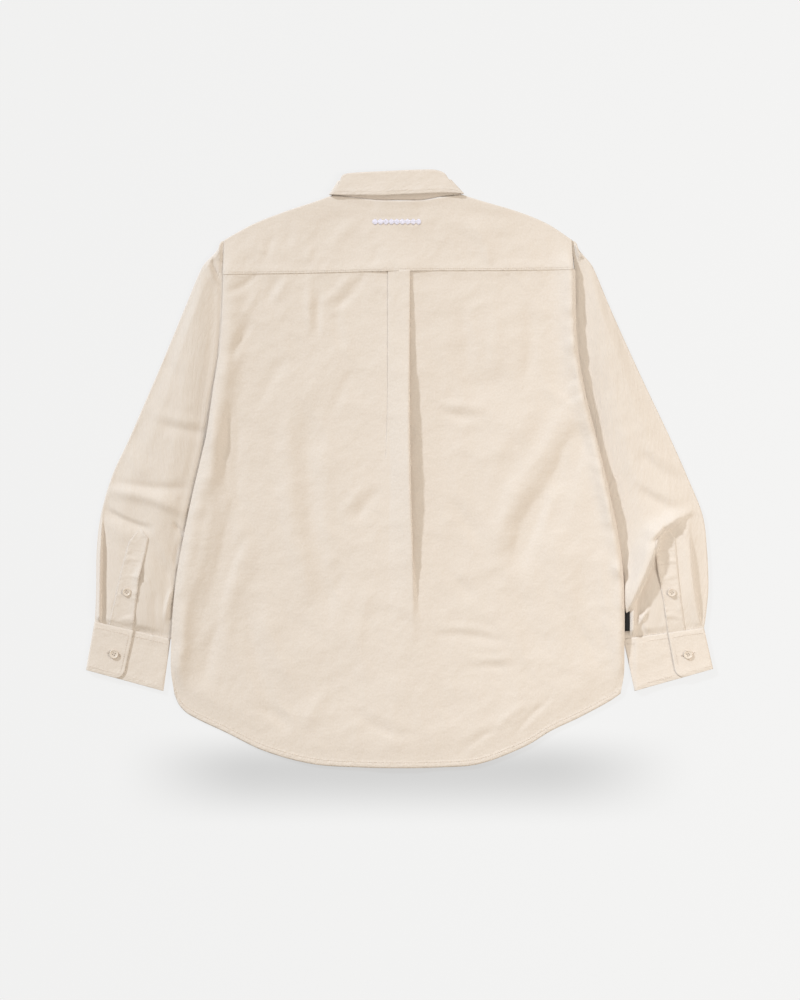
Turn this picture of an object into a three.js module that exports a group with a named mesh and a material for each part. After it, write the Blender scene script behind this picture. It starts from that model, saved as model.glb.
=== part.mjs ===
// Oxford shirt with long sleeves, lying flat on its buttoned front with its back upward.
// Millimetres. X runs to the wearer's right, Y to the collar, Z up from the surface it lies on.
// Every cut piece is a wall of cloth: a grid of points on its middle surface, moved out to both sides.
import * as THREE from 'three';
import { mergeVertices } from 'three/addons/utils/BufferGeometryUtils.js';

// Cloth and seams
const CLOTH = 1.2;
const STIFF_CLOTH = 1.6;
const SEAM_GAP = 0.3;
const LAYER = CLOTH + 0.4;

// Driving sizes of the shirt
const CENTRE_FRONT = -4;
const UNDERARM_Y = 48;
const SIDE_TOP_Y = 264;
const SIDE_BOTTOM_Y = -303;
const LOFT = 5;
const ROLL = 9;
const PLACKET_WIDTH = 32;
const FRONT_HEM_RISE = 3;
const BUTTON_HEIGHT = 2.4;
const PLACKET_RISE = BUTTON_HEIGHT + SEAM_GAP;
const COLLAR_BUTTON_Y = 301;
const FIRST_BUTTON_Y = 235;
const BUTTON_SPACING = 88;
const FRONT_BUTTONS = 7;

const LEFT = -1;
const RIGHT = 1;

const COLOURS = { cloth: 0xeee0cd, button: 0xeadfcf, tab: 0x141414 };

// A table: its column names, then a row for each station
function table(columns, rows) {
  const names = columns.split(' ');
  return rows.map((row) => Object.fromEntries(names.map((name, place) => [name, row[place]])));
}

// Side edges of the body from shoulder tip to hem corner: their places, the heights of the front's
// and the back's edge, and how far the cloth stands up beside them
const SIDES = table('y left right front back ridge', [
  [309, -237, 233, 1.0, 4.4, 0],
  [264, -238.3, 237.6, 1.5, 5.8, 1.0],
  [210, -239.7, 238.3, 3.2, 7.2, 2.2],
  [156, -243.5, 241.5, 4.2, 8.0, 3.2],
  [102, -252.6, 251.3, 4.4, 8.2, 4.0],
  [48, -260.5, 264.6, 4.6, 8.2, 4.6],
  [21, -266.5, 271.5, 7.0, 8.2, 5.0],
  [-33, -279.2, 284, 7.2, 8.4, 5.4],
  [-87, -290.6, 295, 7.2, 8.4, 5.4],
  [-141, -300.5, 302, 7.0, 8.2, 5.0],
  [-195, -306.3, 303.9, 6.4, 7.7, 4.4],
  [-249, -308.8, 303.6, 4.8, 6.4, 3.6],
  [-276, -308.4, 303.2, 3.2, 5.0, 2.4],
  [-303, -304.4, 299, 0.8, 2.7, 0],
]);

const HEM = table('x y', [
  [-304.4, -303], [-298, -318], [-285, -331], [-234, -356], [-182, -381], [-117, -398.5], [-53, -403],
  [0, -404], [55, -403], [107, -398.5], [169, -375], [206, -353], [242, -336], [283, -314], [299, -303],
]);
const YOKE_SEAM = table('x y', [[-239, 264], [-110, 266], [0, 268.6], [148, 269.5], [238, 270.6]]);
const LEFT_SHOULDER = table('x y', [[-237, 309], [-198, 330.5], [-156, 347], [-112, 361.5], [-90.5, 369.5]]);
const RIGHT_SHOULDER = table('x y', [[83.5, 370.5], [110, 362], [161, 347], [200, 330.8], [233, 309]]);
const BACK_NECK = table('x y', [
  [-90.5, 369.5], [-60, 365], [-30, 363], [30, 363], [58, 365.5], [83.5, 370.5],
]);
const FRONT_YOKE_SEAM = table('x y', [[77, 337], [120, 320], [160, 302], [200, 284], [238, 264]]);

// Where the fronts lie raised on the sleeve under them: from which distance off the centre, and how far
const SLEEVE_UNDER = table('y from height', [
  [309, 236, 0.4], [264, 236, 0.9], [210, 236, 2.4], [156, 240, 3.6], [102, 246, 3.8], [48, 250, 3.8],
  [21, 252, 3.8], [-6, 256, 3.8], [-33, 252, 3.8], [-60, 242, 3.8], [-100, 222, 3.8], [-128, 222, 3.8],
  [-155, 230, 3.8], [-182, 246, 3.8], [-209, 270, 3.8], [-236, 292, 3.8], [-263, 300, 2.2], [-303, 302, 0.2],
]);

// The box pleat down the back: the edges of its face, the depth of the cloth turned under at each edge,
// how folded each edge is, and how high the right one stands
const PLEAT = table('y leftEdge rightEdge leftDepth leftFold rightDepth rightFold leftRise rightRise', [
  [270, -15.5, 14.2, 13, 1, 13, 1, 3.4, 3.4],
  [180, -15.5, 14.2, 12, 1, 12, 1, 3.6, 4.4],
  [100, -16, 14.4, 8, 1, 11, 1, 3.7, 5.6],
  [40, -18, 14.8, 4, 0.9, 9, 1, 3.9, 7.0],
  [-20, -21, 15.4, 0, 0.2, 7, 1, 1.6, 7.6],
  [-75, -23, 17, 0, 0, 4, 1, 0, 6.6],
  [-130, -23, 19.5, 0, 0, 1, 0.8, 0, 4.6],
  [-185, -23, 22.5, 0, 0, 0, 0.45, 0, 2.6],
  [-225, -23, 24, 0, 0, 0, 0.1, 0, 0.8],
  [-262, -23, 24, 0, 0, 0, 0, 0, 0],
]);

// Largest folds: a ridge (or a trough, where its height is negative) along a line from 1 to 2
const FOLDS = table('x1 y1 x2 y2 width height', [
  [-234, 70, -236, -40, 12, -2.4],
  [-236, -40, -268, -260, 12, -2.8],
  [236, 60, 270, -230, 14, -1.8],
  [-137, 57, -119, -155, 14, -2.2],
  [243, 57, 155, -120, 17, -2.8],
  [205, 40, 120, -90, 16, 1.6],
  [-232, 250, -146, 190, 12, -1.2],
  [-200, 197, -228, 144, 12, -1.6],
  [-107, 238, -108, 180, 11, -1.6],
  [-49, 260, -88, 210, 11, -1.6],
  [-208, -95, -236, -149, 12, -1.2],
  [-25, -32, -55, -68, 12, -1.1],
  [127, -354, 80, -389, 12, -1.2],
  [203, -313, 155, -360, 12, -1.2],
]);
const SLEEVE_FOLDS = table('x1 y1 x2 y2 width height', [
  [-330, 62, -262, 50, 10, -1.4],
  [-386, -32, -290, -60, 11, 1.8],
  [-384, -20, -292, -25, 8, -1.4],
  [-390, -58, -342, -78, 8, -1.5],
  [-398, -115, -401, -205, 5, -1.3],
  [318, 30, 378, -18, 11, -1.5],
  [318, -28, 380, -60, 9, -1.5],
  [302, -194, 336, -92, 9, 8.5],
  [336, -74, 394, -40, 8, 4],
  [392, -105, 404, -205, 5, -1.3],
]);

// Cross lines of each sleeve, from its outer edge to its underarm edge. The first is the armhole.
const LEFT_SLEEVE = table('outerX outerY innerX innerY', [
  [-237, 309, -260.5, 48], [-247, 303, -262, 41], [-266.4, 272, -266.5, 28], [-290.2, 216, -268.7, 14],
  [-321.8, 140, -270, -2], [-344.3, 88, -270, -24], [-366.1, 38, -262, -50], [-388, -9.5, -245, -80],
  [-403, -62, -232, -112], [-408.6, -109, -240, -148], [-409.4, -157, -262, -180],
  [-410.2, -185, -285, -204], [-411.6, -207.4, -309.6, -230.4],
]);
const RIGHT_SLEEVE = table('outerX outerY innerX innerY', [
  [233, 309, 264.6, 48], [243, 303, 266, 41], [261.2, 272, 271.2, 28], [284.8, 216, 273.7, 14],
  [318.9, 140, 275, -2], [343.4, 88, 275, -24], [367, 38, 266, -50], [388, -9.5, 248, -80],
  [409, -62, 234, -112], [415, -109, 240, -148], [417, -157, 260, -180],
  [414.5, -190, 283, -204], [411, -215.4, 303, -230.2],
]);

// Cuffs: the two ends of their upper and lower edge, and how far across the lap reaches
const CUFFS = {
  [LEFT]: {
    top: { outer: [-411.7, -207.9], inner: [-309.8, -230.9], lap: 0.517 },
    bottom: { outer: [-423.1, -271.4], inner: [-319.3, -299.7], lap: 0.48 },
    button: [-385.4, -249.8],
  },
  [RIGHT]: {
    top: { outer: [411.1, -216], inner: [303, -230.9], lap: 0.45 },
    bottom: { outer: [423.1, -270], inner: [317.9, -299.7], lap: 0.469 },
    button: [389.5, -250.4],
  },
};

// Tower plackets: both long edges, from the cuff up to the corners and the point
const SLEEVE_PLACKETS = {
  [LEFT]: {
    rows: table('outerX outerY innerX innerY', [
      [-393.3, -211.2, -359.3, -219],
      [-385, -178, -355.5, -184],
      [-376, -138, -350.5, -144],
      [-367.5, -106, -341.5, -110],
      [-365, -98, -338.6, -93.4],
      [-352.5, -83.5, -347.5, -82],
    ]),
    button: [-367.9, -166.1],
  },
  [RIGHT]: {
    rows: table('outerX outerY innerX innerY', [
      [386.6, -218.6, 362.4, -221.9],
      [380.5, -178, 356.5, -180],
      [376.5, -138, 348.5, -140],
      [373.8, -108, 345.2, -110],
      [372.6, -93, 345.4, -97],
      [364, -82, 356, -81.5],
    ]),
    button: [367.2, -166.7],
  },
};

// Reading a table smoothly between its rows
const clamp = THREE.MathUtils.clamp;
const lerp = THREE.MathUtils.lerp;
const radians = THREE.MathUtils.degToRad;
const smooth = (value, from, to) => THREE.MathUtils.smoothstep(value, from, to);
const bell = (distance, width) => Math.exp(-((distance / width) ** 2));

function read(rows, key, name, at) {
  const rising = Math.sign(rows[rows.length - 1][key] - rows[0][key]);
  let next = 1;
  while (next < rows.length - 1 && rising * at > rising * rows[next][key]) next += 1;
  const span = rows[next][key] - rows[next - 1][key];
  const share = clamp((at - rows[next - 1][key]) / span, 0, 1);
  const slope = (index) => {
    const before = rows[Math.max(index - 1, 0)];
    const after = rows[Math.min(index + 1, rows.length - 1)];
    return (after[name] - before[name]) / (after[key] - before[key]);
  };
  const square = share * share;
  const cube = square * share;
  return (
    (2 * cube - 3 * square + 1) * rows[next - 1][name] +
    (cube - 2 * square + share) * span * slope(next - 1) +
    (3 * square - 2 * cube) * rows[next][name] +
    (cube - square) * span * slope(next)
  );
}

// Walls of cloth from a grid of middle points. Cells that cell() refuses are left out.
function clothWall(grid, thickness, { ring = false, cell = () => true } = {}) {
  const rows = grid.length;
  const columns = grid[0].length;
  const across = ring ? columns : columns - 1;
  const at = (row, column) => grid[row][(column + columns) % columns];
  const positions = [];
  for (const side of [1, -1]) {
    for (let row = 0; row < rows; row += 1) {
      for (let column = 0; column < columns; column += 1) {
        const left = ring ? column - 1 : Math.max(column - 1, 0);
        const right = ring ? column + 1 : Math.min(column + 1, columns - 1);
        const along = at(Math.min(row + 1, rows - 1), column).clone().sub(at(Math.max(row - 1, 0), column));
        const sideways = at(row, right).clone().sub(at(row, left));
        const normal = sideways.cross(along).normalize();
        const point = at(row, column).clone().addScaledVector(normal, (side * thickness) / 2);
        positions.push(point.x, point.y, point.z);
      }
    }
  }
  const outer = (row, column) => row * columns + ((column + columns) % columns);
  const inner = (row, column) => rows * columns + outer(row, column);
  const present = (row, column) => {
    if (row < 0 || row >= rows - 1) return false;
    if (!ring && (column < 0 || column >= across)) return false;
    return cell(row, (column + columns) % columns);
  };
  const faces = [];
  const quad = (a, b, c, d) => faces.push(a, b, c, a, c, d);
  const quadBehind = (a, b, c, d) => faces.push(a, c, b, a, d, c);
  const rim = (a, b) => quad(b, a, a + rows * columns, b + rows * columns);
  for (let row = 0; row < rows - 1; row += 1) {
    for (let column = 0; column < across; column += 1) {
      if (!present(row, column)) continue;
      const corners = [[row, column], [row, column + 1], [row + 1, column + 1], [row + 1, column]];
      quad(...corners.map(([i, j]) => outer(i, j)));
      quadBehind(...corners.map(([i, j]) => inner(i, j)));
      if (!present(row - 1, column)) rim(outer(row, column), outer(row, column + 1));
      if (!present(row, column + 1)) rim(outer(row, column + 1), outer(row + 1, column + 1));
      if (!present(row + 1, column)) rim(outer(row + 1, column + 1), outer(row + 1, column));
      if (!present(row, column - 1)) rim(outer(row + 1, column), outer(row, column));
    }
  }
  const geometry = new THREE.BufferGeometry();
  geometry.setAttribute('position', new THREE.Float32BufferAttribute(positions, 3));
  geometry.setIndex(faces);
  return facingOut(geometry);
}

// Merges what is alike, drops faces without area and turns the faces out
function facingOut(geometry) {
  const bare = geometry.clone();
  bare.deleteAttribute('normal');
  bare.deleteAttribute('uv');
  const merged = mergeVertices(bare, 1e-4);
  const place = merged.getAttribute('position');
  const point = (index) => new THREE.Vector3().fromBufferAttribute(place, index);
  const faces = [];
  let volume = 0;
  for (let start = 0; start < merged.index.count; start += 3) {
    const [a, b, c] = [0, 1, 2].map((step) => merged.index.getX(start + step));
    if (a === b || b === c || c === a) continue;
    faces.push([a, b, c]);
    volume += point(a).dot(point(b).cross(point(c)));
  }
  const outward = volume < 0 ? faces.map(([a, b, c]) => [a, c, b]) : faces;
  const used = [...new Set(outward.flat())];
  const renumbered = new Map(used.map((old, order) => [old, order]));
  const solid = new THREE.BufferGeometry();
  const kept = used.flatMap((old) => point(old).toArray());
  solid.setAttribute('position', new THREE.Float32BufferAttribute(kept, 3));
  solid.setIndex(outward.flat().map((old) => renumbered.get(old)));
  solid.computeVertexNormals();
  return solid;
}

const materials = {
  cloth: new THREE.MeshStandardMaterial({ color: COLOURS.cloth, roughness: 0.9, metalness: 0 }),
  button: new THREE.MeshStandardMaterial({ color: COLOURS.button, roughness: 0.35, metalness: 0 }),
  tab: new THREE.MeshStandardMaterial({ color: COLOURS.tab, roughness: 0.8, metalness: 0 }),
};

const shirt = new THREE.Group();

function sew(name, geometry, material = materials.cloth) {
  const mesh = new THREE.Mesh(geometry, material);
  mesh.name = name;
  shirt.add(mesh);
  return mesh;
}

// Places on the body
const sideEdge = (hand, y) => read(SIDES, 'y', hand === LEFT ? 'left' : 'right', y);
const sideRead = (name, y) => read(SIDES, 'y', name, y);
const hemAt = (x) => read(HEM, 'x', 'y', x);
const yokeSeamAt = (x) => read(YOKE_SEAM, 'x', 'y', x);
const shoulderAt = (x) => read(x < 0 ? LEFT_SHOULDER : RIGHT_SHOULDER, 'x', 'y', x);
const handOf = (x) => (x < 0 ? LEFT : RIGHT);
const inset = (x, y) => handOf(x) * (sideEdge(handOf(x), y) - x);

const NECK_CENTRE = { x: -3.5, y: 370 };
const NECK_RADIUS = 83.2;

function frontTopAt(x) {
  const off = x - NECK_CENTRE.x;
  const radius = NECK_RADIUS + 2 * SEAM_GAP;
  const neck = Math.abs(off) < radius ? NECK_CENTRE.y - Math.sqrt(radius ** 2 - off ** 2) : Infinity;
  return Math.min(neck, read(FRONT_YOKE_SEAM, 'x', 'y', Math.abs(x)) - 3 * SEAM_GAP);
}

// Height of the ridges and troughs at a place
function foldHeight(folds, x, y) {
  let height = 0;
  for (const fold of folds) {
    const run = { x: fold.x2 - fold.x1, y: fold.y2 - fold.y1 };
    const length = Math.hypot(run.x, run.y);
    const share = ((x - fold.x1) * run.x + (y - fold.y1) * run.y) / length ** 2;
    const away = ((x - fold.x1) * run.y - (y - fold.y1) * run.x) / length;
    const ends = smooth(share, -0.1, 0.25) * (1 - smooth(share, 0.75, 1.1));
    height += fold.height * ends * bell(away, fold.width);
  }
  return height;
}

// Middle height of the placket band, which lies on its buttons and comes down to the hem
const placketLevel = (y) => CLOTH / 2 + PLACKET_RISE * smooth(y, -385, -305);

const sleeveShare = (x, y) => {
  const from = read(SLEEVE_UNDER, 'y', 'from', y);
  return smooth(Math.abs(x), from - 36, from - 6);
};

// Middle height of the fronts. The right front also lies on the placket.
function frontLevel(x, y, hand = handOf(x - CENTRE_FRONT)) {
  const rest = CLOTH / 2;
  const overSleeve = read(SLEEVE_UNDER, 'y', 'height', y) * sleeveShare(x, y);
  const lap = placketLevel(y) - rest + (hand === RIGHT ? LAYER : 0);
  const overPlacket = lap * (1 - smooth(Math.abs(x - CENTRE_FRONT), PLACKET_WIDTH / 2 + 1, 50));
  const fromNeck = Math.hypot(x - NECK_CENTRE.x, y - NECK_CENTRE.y);
  const overCollar = PLACKET_RISE * (1 - smooth(fromNeck, 132, 175));
  return rest + Math.max(overSleeve, overPlacket, overCollar);
}

// How the back stands up over the placket and the sleeves, and how far from the hem and from the
// shoulders it comes down on the fronts
const OVER_PLACKET = { rise: 1.8, width: 40 };
const OVER_SLEEVE = { rise: 3.2, from: -300, to: 120 };
const LEFT_RIDGE = { inside: 13, width: 12, rise: 1 };
const RIGHT_RIDGE = { inside: 8, width: 12, rise: 1.3 };
const HEM_FALL = 45;
const SHOULDER_FALL = 40;
const LOOK_OUTWARD = 12;

// The highest front under a place or a little further out
function highestFront(x, y) {
  const places = [x, x + handOf(x) * LOOK_OUTWARD];
  const levels = places.flatMap((place) => [LEFT, RIGHT].map((hand) => frontLevel(place, y, hand)));
  return Math.max(...levels);
}

// Middle height of the back and the yoke, without the pleat
function backLevel(x, y) {
  const below = highestFront(x, y);
  let level = LOFT + OVER_PLACKET.rise * bell(x - CENTRE_FRONT, OVER_PLACKET.width);
  level += OVER_SLEEVE.rise * sleeveShare(x, y) * smooth(y, OVER_SLEEVE.from, OVER_SLEEVE.to);
  const ridge = x < 0 ? LEFT_RIDGE : RIGHT_RIDGE;
  level += sideRead('ridge', y) * ridge.rise * bell(inset(x, y) - ridge.inside, ridge.width);
  level += foldHeight(FOLDS, x, y);
  level = lerp(below + LAYER + 0.2, level, smooth(y - hemAt(x), 0, HEM_FALL));
  level = lerp(below + 2 * LAYER, level, smooth(shoulderOrNeckAt(x) - y, 0, SHOULDER_FALL));
  return Math.max(level, below + LAYER);
}

// The same, rolled down to the seam at the sides
function backSurface(x, y) {
  const level = backLevel(x, y);
  const edge = sideRead('back', y);
  const fall = 1 - clamp(inset(x, y) / ROLL, 0, 1);
  return edge + (level - edge) * Math.sqrt(1 - fall ** 2);
}

function frontSurface(x, y, hand) {
  const level = frontLevel(x, y, hand);
  const edge = sideRead('front', y);
  const fall = 1 - clamp(inset(x, y) / ROLL, 0, 1);
  return edge + (level - edge) * Math.sqrt(1 - fall ** 2);
}

function shoulderOrNeckAt(x) {
  const ends = [BACK_NECK[0].x, BACK_NECK[BACK_NECK.length - 1].x];
  return x > ends[0] && x < ends[1] ? read(BACK_NECK, 'x', 'y', x) : shoulderAt(x);
}

// Columns that follow the roll at a side: distances inside the edge
const ROLL_ANGLES = [90, 72, 50, 25, 0];
const rollInset = (angle) => ROLL * (1 - Math.sin(radians(angle)));

// One edge of the pleat as an S: the cloth turns under and comes back out.
// From the level under it up to the face when rising is 1, and down again when it is -1.
const TURN_ANGLES = [-90, -35, 35, 90];
const UNFOLDED_REACH = 9;
const PLEAT_MARGIN = 8;

function pleatEdge(edge, depth, fold, rise, outward) {
  const radius = rise / 4;
  const centre = edge - outward * radius;
  const near = TURN_ANGLES.map((angle) => ({
    x: centre - outward * (depth + radius * Math.cos(radians(angle))),
    z: radius + radius * Math.sin(radians(angle)),
  }));
  const far = TURN_ANGLES.map((angle) => ({
    x: centre + outward * radius * Math.cos(radians(angle)),
    z: 3 * radius + radius * Math.sin(radians(angle)),
  }));
  const folded = [...near, ...far];
  return folded.map((point, place) => {
    const share = place / (folded.length - 1);
    const flat = edge + outward * UNFOLDED_REACH * (1 - 2 * share);
    return { x: lerp(flat, point.x, fold), z: lerp(rise * smooth(share, 0, 1), point.z, fold) };
  });
}

function pleatRow(y) {
  const at = (name) => read(PLEAT, 'y', name, y);
  const left = pleatEdge(at('leftEdge'), at('leftDepth'), at('leftFold'), at('leftRise'), -1);
  const right = pleatEdge(at('rightEdge'), at('rightDepth'), at('rightFold'), at('rightRise'), 1);
  const face = [0.33, 0.67].map((share) => ({
    x: lerp(at('leftEdge'), at('rightEdge'), share),
    z: lerp(at('leftRise'), at('rightRise'), share),
  }));
  return [...left, ...face, ...right.reverse()];
}

const BACK_ROWS = 21;
const BODY_SHARES = [0.06, 0.13, 0.21, 0.34, 0.5, 0.67, 0.84];

function backPanel() {
  const grid = [];
  for (let row = 0; row <= BACK_ROWS; row += 1) {
    const share = row / BACK_ROWS;
    const sideY = lerp(SIDE_TOP_Y, SIDE_BOTTOM_Y, share);
    const rowY = (x) => lerp(yokeSeamAt(x) - SEAM_GAP / 2, hemAt(x), share);
    const pleat = pleatRow(rowY(0));
    const edges = [LEFT, RIGHT].map((hand) => sideEdge(hand, sideY) - (hand * CLOTH) / 2);
    const body = (hand) => {
      const from = edges[hand === LEFT ? 0 : 1] - hand * ROLL;
      const to = hand === LEFT ? pleat[0].x - PLEAT_MARGIN : pleat[pleat.length - 1].x + PLEAT_MARGIN;
      return [...BODY_SHARES.map((part) => lerp(from, to, part)), to];
    };
    const roll = (hand) => ROLL_ANGLES.map((angle) => edges[hand === LEFT ? 0 : 1] - hand * rollInset(angle));
    const plain = (x) => ({ x, z: 0 });
    const section = [
      ...roll(LEFT).map(plain),
      ...body(LEFT).map(plain),
      ...pleat,
      ...body(RIGHT).map(plain).reverse(),
      ...roll(RIGHT).map(plain).reverse(),
    ];
    grid.push(section.map(({ x, z }) => {
      const y = rowY(x);
      const outside = x + (handOf(x) * CLOTH) / 2;
      return new THREE.Vector3(x, y, backSurface(Math.abs(x) > 200 ? outside : x, y) + z);
    }));
  }
  return clothWall(grid, CLOTH);
}

// The yoke covers the shoulders and turns over them to the front
const YOKE_ROWS = [0, 0.3, 0.6, 0.85, 1];
const SHOULDER_TURN = [60, 0, -60];
const FRONT_YOKE_ROWS = [0, 0.5, 1];
const WING_COLUMNS = 7;
const NECK_COLUMNS = 10;
const CROWDED_TO_TIP = 1.4;
const SEAM_SPREAD = 1.009;
const COLLAR_END = { x: 88, width: 12, shift: 8.6 };
const PLEAT_BLEND = { from: 1, to: 14 };
const ABOVE_PLEAT = { from: 6, to: 55 };

// The yoke's middle height. It also lies on the top of the pleat.
function yokeLevel(x, y) {
  const pleat = PLEAT[0];
  const outsidePleat = Math.max(pleat.leftEdge - x, x - pleat.rightEdge);
  const overPleat = 1 - smooth(outsidePleat, PLEAT_BLEND.from, PLEAT_BLEND.to);
  const nearSeam = 1 - smooth(y - yokeSeamAt(x), ABOVE_PLEAT.from, ABOVE_PLEAT.to);
  return backSurface(x, y) + pleat.leftRise * overPleat * nearSeam;
}

function yoke() {
  const neck = [BACK_NECK[0].x, BACK_NECK[BACK_NECK.length - 1].x];
  const tips = [LEFT_SHOULDER[0].x + CLOTH / 2, RIGHT_SHOULDER[RIGHT_SHOULDER.length - 1].x - CLOTH / 2];
  const columns = [];
  for (let step = 0; step < WING_COLUMNS; step += 1) {
    columns.push({ x: lerp(tips[0], neck[0], (step / WING_COLUMNS) ** CROWDED_TO_TIP), wing: LEFT });
  }
  for (let step = 0; step <= NECK_COLUMNS; step += 1) {
    columns.push({ x: lerp(neck[0], neck[1], step / NECK_COLUMNS), wing: 0 });
  }
  for (let step = WING_COLUMNS - 1; step >= 0; step -= 1) {
    columns.push({ x: lerp(tips[1], neck[1], (step / WING_COLUMNS) ** CROWDED_TO_TIP), wing: RIGHT });
  }
  const topOf = ({ x }) => {
    const top = shoulderOrNeckAt(x);
    const under = frontLevel(x, top);
    const radius = (backLevel(x, top) - under) / 2;
    return { top: top - radius, under, radius };
  };
  const grid = YOKE_ROWS.map((share) => columns.map((column) => {
    const seamX = column.x * SEAM_SPREAD;
    const { top } = topOf(column);
    const x = lerp(column.wing ? seamX : column.x, column.x, share);
    const y = lerp(yokeSeamAt(x) + SEAM_GAP / 2, column.wing ? top : shoulderOrNeckAt(x) - SEAM_GAP, share);
    return new THREE.Vector3(x, y, yokeLevel(x, y));
  }));
  for (const angle of SHOULDER_TURN) {
    grid.push(columns.map((column) => {
      const { top, under, radius } = topOf(column);
      const y = top + radius * Math.cos(radians(angle));
      return new THREE.Vector3(column.x, y, under + radius * (1 + Math.sin(radians(angle))));
    }));
  }
  for (const share of FRONT_YOKE_ROWS) {
    grid.push(columns.map((column) => {
      const { top } = topOf(column);
      const nearCollar = bell(Math.abs(column.x) - COLLAR_END.x, COLLAR_END.width);
      const x = column.x - COLLAR_END.shift * share * nearCollar * handOf(column.x);
      const y = lerp(top, read(FRONT_YOKE_SEAM, 'x', 'y', Math.abs(x)), share);
      return new THREE.Vector3(x, y, frontLevel(x, y));
    }));
  }
  const neckCell = (row, column) => row >= YOKE_ROWS.length - 1
    && column >= WING_COLUMNS && column < WING_COLUMNS + NECK_COLUMNS;
  return clothWall(grid, CLOTH, { cell: (row, column) => !neckCell(row, column) });
}

// Fronts: from the buttoned edge out to the side seam
const FRONT_INSETS = [18, 32, 46, 62, 80, 100, 125];
const COLLAR_COLUMNS = [250, 234, 218, 202];
const OUTER_COLUMN = 105;
const RIGHT_LAP = [CENTRE_FRONT - 10, CENTRE_FRONT + 4, CENTRE_FRONT + 17];

function frontPanel(hand) {
  const closing = hand === LEFT ? [CENTRE_FRONT - PLACKET_WIDTH / 2 - SEAM_GAP] : RIGHT_LAP;
  const alongNeck = COLLAR_COLUMNS.map((angle) => -Math.cos(radians(angle)) * NECK_RADIUS);
  const start = [...closing, ...[...alongNeck, OUTER_COLUMN].map((off) => NECK_CENTRE.x + hand * off)];
  const grid = [];
  for (let row = 0; row <= BACK_ROWS; row += 1) {
    const share = row / BACK_ROWS;
    const sideY = lerp(SIDE_TOP_Y, SIDE_BOTTOM_Y, share);
    const openEdge = sideY > UNDERARM_Y - 1 ? CLOTH : CLOTH / 2;
    const edge = sideEdge(hand, sideY) - hand * openEdge;
    const columns = [
      ...start,
      ...FRONT_INSETS.map((off) => edge - hand * off).reverse(),
      ...ROLL_ANGLES.map((angle) => edge - hand * rollInset(angle)).reverse(),
    ];
    grid.push(columns.map((x) => {
      const y = lerp(frontTopAt(x), hemAt(x) + FRONT_HEM_RISE, share);
      const outside = Math.abs(x) > 200 ? x + hand * openEdge : x;
      return new THREE.Vector3(x, y, frontSurface(outside, y, hand));
    }));
  }
  return clothWall(grid, CLOTH);
}

function frontPlacket() {
  const grid = [];
  const rows = 18;
  for (let row = 0; row <= rows; row += 1) {
    grid.push([-1, 0, 1].map((side) => {
      const x = CENTRE_FRONT + (side * PLACKET_WIDTH) / 2;
      const y = lerp(frontTopAt(x) - SEAM_GAP, hemAt(x) + FRONT_HEM_RISE, row / rows);
      return new THREE.Vector3(x, y, placketLevel(y));
    }));
  }
  return clothWall(grid, CLOTH);
}

// Sleeves: flattened tubes, whose rings follow the cross lines
const UPPER_SHARES = [0, 0.03, 0.07, 0.11, 0.17, 0.27, 0.38, 0.5, 0.62, 0.75, 0.9, 1];
const UNDER_SHARES = [1, 0.7, 0.4, 0.15, 0];
const RING_TURN = [45, 0, -45];
const SLEEVE_ON_FLOOR = CLOTH / 2;
const PRESSED_SLEEVE = SLEEVE_ON_FLOOR + CLOTH + 0.8;

const SLEEVE_LOFT = 5;
const SEEN_RISE = 1.6;
const LOFT_AT_CUFF = 0.25;
const CUFF_TOP_Y = -232;
const FULL_LOFT_Y = -165;
const ARMHOLE_TOP_Y = UNDERARM_Y + 250;

// Middle height of a sleeve's upper layer: pressed under the body, and lofted outside it
function sleeveTop(hand, x, y, fromOuter, fromInner) {
  const outsideBody = hand * (x - sideEdge(hand, clamp(y, SIDE_BOTTOM_Y, ARMHOLE_TOP_Y)));
  const seen = smooth(outsideBody, 8, 22);
  const inside = smooth(outsideBody, 12, 42) * smooth(fromOuter, 2, 34) * smooth(fromInner, 0, 20);
  const aboveCuff = lerp(LOFT_AT_CUFF, 1, smooth(y, CUFF_TOP_Y, FULL_LOFT_Y));
  const folds = foldHeight(SLEEVE_FOLDS, x, y) * smooth(outsideBody, 3, 20);
  const level = PRESSED_SLEEVE + SEEN_RISE * seen + SLEEVE_LOFT * inside * aboveCuff + folds;
  return Math.max(level, PRESSED_SLEEVE);
}

function crossLine(hand, place) {
  const rows = hand === LEFT ? LEFT_SLEEVE : RIGHT_SLEEVE;
  const numbered = rows.map((row, index) => ({ ...row, place: index }));
  const at = (name) => read(numbered, 'place', name, place);
  const outer = new THREE.Vector2(at('outerX'), at('outerY'));
  const inner = new THREE.Vector2(at('innerX'), at('innerY'));
  return { outer, inner };
}

const LAST_PLACE = LEFT_SLEEVE.length - 1;
const SLANT_STEP = 0.2;
const MOST_SLANT = 5;

// How much longer than square a cross line runs through the outer and the inner edge
function edgeSlants(hand, place) {
  const before = crossLine(hand, Math.max(place - SLANT_STEP, 0));
  const after = crossLine(hand, Math.min(place + SLANT_STEP, LAST_PLACE));
  const { outer, inner } = crossLine(hand, place);
  const across = inner.clone().sub(outer).normalize();
  return ['outer', 'inner'].map((end) => {
    const along = after[end].clone().sub(before[end]).normalize();
    return Math.min(1 / Math.abs(across.cross(along)), MOST_SLANT);
  });
}

// How far outside the body's edge the first two rings lie, at the shoulder and at the underarm
const ARMHOLE_OFFSETS = [[0.1, 0.1], [6, 2.5]];
const ARMHOLE_STEP = 1.0;
const UNDER_SHIFT = 0.4;

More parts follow.
